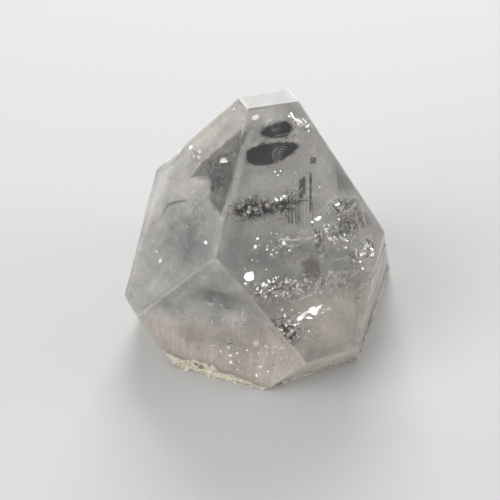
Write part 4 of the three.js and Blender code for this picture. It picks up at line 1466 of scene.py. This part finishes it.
def veil_material():
    """White haze: a matte sheet, mostly see-through, thick and thin by the painted veil and the noise."""
    material, tree, shader, _ = new_material("milky_veil")
    veil = add_node(tree, "ShaderNodeAttribute", attribute_name="veil").outputs["Fac"]
    streaks = add_node(tree, "ShaderNodeAttribute", attribute_name="streaks").outputs["Fac"]
    wisps = add_marks(tree, 4.0, 0.25, 0.75, shift=0.7)
    grain = add_marks(tree, 0.9, 0.3, 0.7, shift=0.9)
    fine = add_marks(tree, 0.35, 0.35, 0.65, shift=0.8)
    dots = add_marks(tree, 0.4, 0.68, 0.71, shift=0.6)
    upright = add_marks(tree, 0.42, 0.3, 0.7, stretch=(1, 1, 0.05), shift=0.5)
    thick = add_sum(tree, 0.86, [
        (wisps, 0.5, None, 0.22), (grain, 0.5, None, 0.14), (fine, 0.5, None, 0.08),
        (upright, 0.5, streaks, 0.35), (dots, 0.0, None, -0.55),
    ])
    opacity = add_math(tree, "MULTIPLY", thick, veil)
    opacity = add_node(tree, "ShaderNodeClamp", {"Value": opacity}).outputs["Result"]
    tree.links.new(opacity, shader.inputs["Alpha"])
    warm = add_node(tree, "ShaderNodeAttribute", attribute_name="warm").outputs["Fac"]
    colour = mix_colours(tree, warm, (0.95, 0.945, 0.935), (0.97, 0.915, 0.855))
    tree.links.new(colour, shader.inputs["Base Color"])
    shader.inputs["Roughness"].default_value = 0.9
    shader.inputs["Specular IOR Level"].default_value = 0.0
    return material


def face_stretch(name):
    """The part of the side grid over one face, edge to edge, in the rows where the face has width."""
    names = list(COLUMNS)
    first = sum(COLUMNS[key] for key in names[:names.index(name)])
    columns = np.arange(first, first + COLUMNS[name] + 1, VEIL_EVERY) % sides.shape[1]
    stretch = sides[:, columns]
    width = np.linalg.norm(stretch[:, -1] - stretch[:, 0], axis=-1)
    rows = np.flatnonzero(width > VEIL_NARROWEST)
    return stretch[rows[::VEIL_EVERY]]


def face_veil(name, depth, strength, seed):
    """A face's stretch of the grid, moved in by a wandering depth, with the painted values at its points.

    Faces towards the camera are moved along the bent line of sight, so their windows line up with the
    painted ones, and the others straight in."""
    stretch = face_stretch(name)
    out, _, _ = directions(FACES[name])
    across, up, _ = on_face(FACES[name], stretch)
    place = np.stack([across, up], -1).reshape(-1, 2)
    unders = [on_face(face, stretch)[2] for key, face in FACES.items() if key != name]
    inwards = soft_step(np.min(unders, 0), 0, VEIL_SLOPE)
    below = depth * (1 + 0.15 * swells(place, 7, seed).reshape(across.shape)) - VEIL_AT_EDGE
    below = VEIL_AT_EDGE + inwards * below
    if name in SEEN:
        points = under_face(name, across, up, below)
    else:
        points = stretch - below[..., None] * out
    points[..., 2] = np.maximum(points[..., 2], VEIL_LOWEST)
    values = face_paint(name, across.reshape(-1), up.reshape(-1))
    return (points, False, None), strength * np.clip(values[:, 0], 0, 1), values[:, 3], values[:, 5]


def milky_veils():
    """All the veils as one piece, with their values on its points."""
    made = [face_veil(*row, VEIL_SEED + index) for index, row in enumerate(VEILS)]
    points, faces = join_grids([row[0] for row in made])
    used, renumbered = np.unique(faces, return_inverse=True)
    piece = new_piece("milky_veils", points[used], renumbered.reshape(faces.shape), veil_material())
    for column, value in enumerate(("veil", "streaks", "warm"), 1):
        add_values(piece.data, value, np.concatenate([row[column] for row in made])[used])
    tidy_mesh(piece.data, NEVER_SHARP)
    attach(piece, "root")
    print("milky_veils:", len(piece.data.vertices), "points,", len(piece.data.polygons), "faces")


milky_veils()

# %% [markdown]
# ## Floor and light
#
# The floor is pale and has no pattern. The key light stands behind and above. For its size it is the
# strongest, so the flakes that mirror it flash. Two soft lights stand at the left and the right, and the
# world round them is an even grey.

# %% Floor and lights
FLOOR_RADIUS = 3000  # mm
FLOOR_CORNERS = 96


def plain_floor():
    """A wide level disc under the crystal."""
    turn = np.linspace(0, 2 * np.pi, FLOOR_CORNERS + 1)[:-1]
    rim = np.stack([FLOOR_RADIUS * np.cos(turn), FLOOR_RADIUS * np.sin(turn), turn * 0], -1)
    material, _, shader, _ = new_material("pale_floor")
    shader.inputs["Base Color"].default_value = (0.5, 0.5, 0.5, 1)
    shader.inputs["Roughness"].default_value = 0.8
    floor = new_piece("floor", rim, np.arange(FLOOR_CORNERS)[None], material)


def soft_light(name, compass, height, away, size, power, aim=(0, 0, 18)):
    """A square area light that looks at the crystal from a compass direction and height in degrees."""
    light_data = bpy.data.lights.new(name, "AREA")
    light_data.energy = power
    light_data.size = size
    light = bpy.data.objects.new(name, light_data)
    bpy.context.collection.objects.link(light)
    way = Vector(way_to(compass, height))
    light.location = Vector(aim) * MM + way * away
    light.rotation_mode = "QUATERNION"
    light.rotation_quaternion = (-way).to_track_quat("-Z", "Y")


def plain_world(strength):
    """An even grey all round."""
    world = bpy.data.worlds.new("world")
    world.use_nodes = True
    background = world.node_tree.nodes["Background"]
    background.inputs["Color"].default_value = (1, 1, 1, 1)
    background.inputs["Strength"].default_value = strength
    bpy.context.scene.world = world


def light_paths():
    """How many turns light may take: enough for in, off a film, round inside, and out."""
    cycles = bpy.context.scene.cycles
    cycles.max_bounces = 9
    cycles.diffuse_bounces = 3
    cycles.glossy_bounces = 4
    cycles.transmission_bounces = 9
    cycles.transparent_max_bounces = 8


LIGHTS = (  # name, compass and height in degrees, metres away, size in metres, watts
    ("key_light", KEY_COMPASS, KEY_HEIGHT, 0.7, 0.36, 4),
    ("left_light", 232, 32, 1.0, 0.8, 7.5),
    ("right_light", 18, 10, 1.0, 0.5, 5),
)
WORLD_STRENGTH = 0.58
plain_floor()
for row in LIGHTS:
    soft_light(*row)
plain_world(WORLD_STRENGTH)
light_paths()
bpy.context.scene.view_settings.view_transform = "Standard"  # colours as they are, with no film curve
print("floor and", len(LIGHTS), "lights")
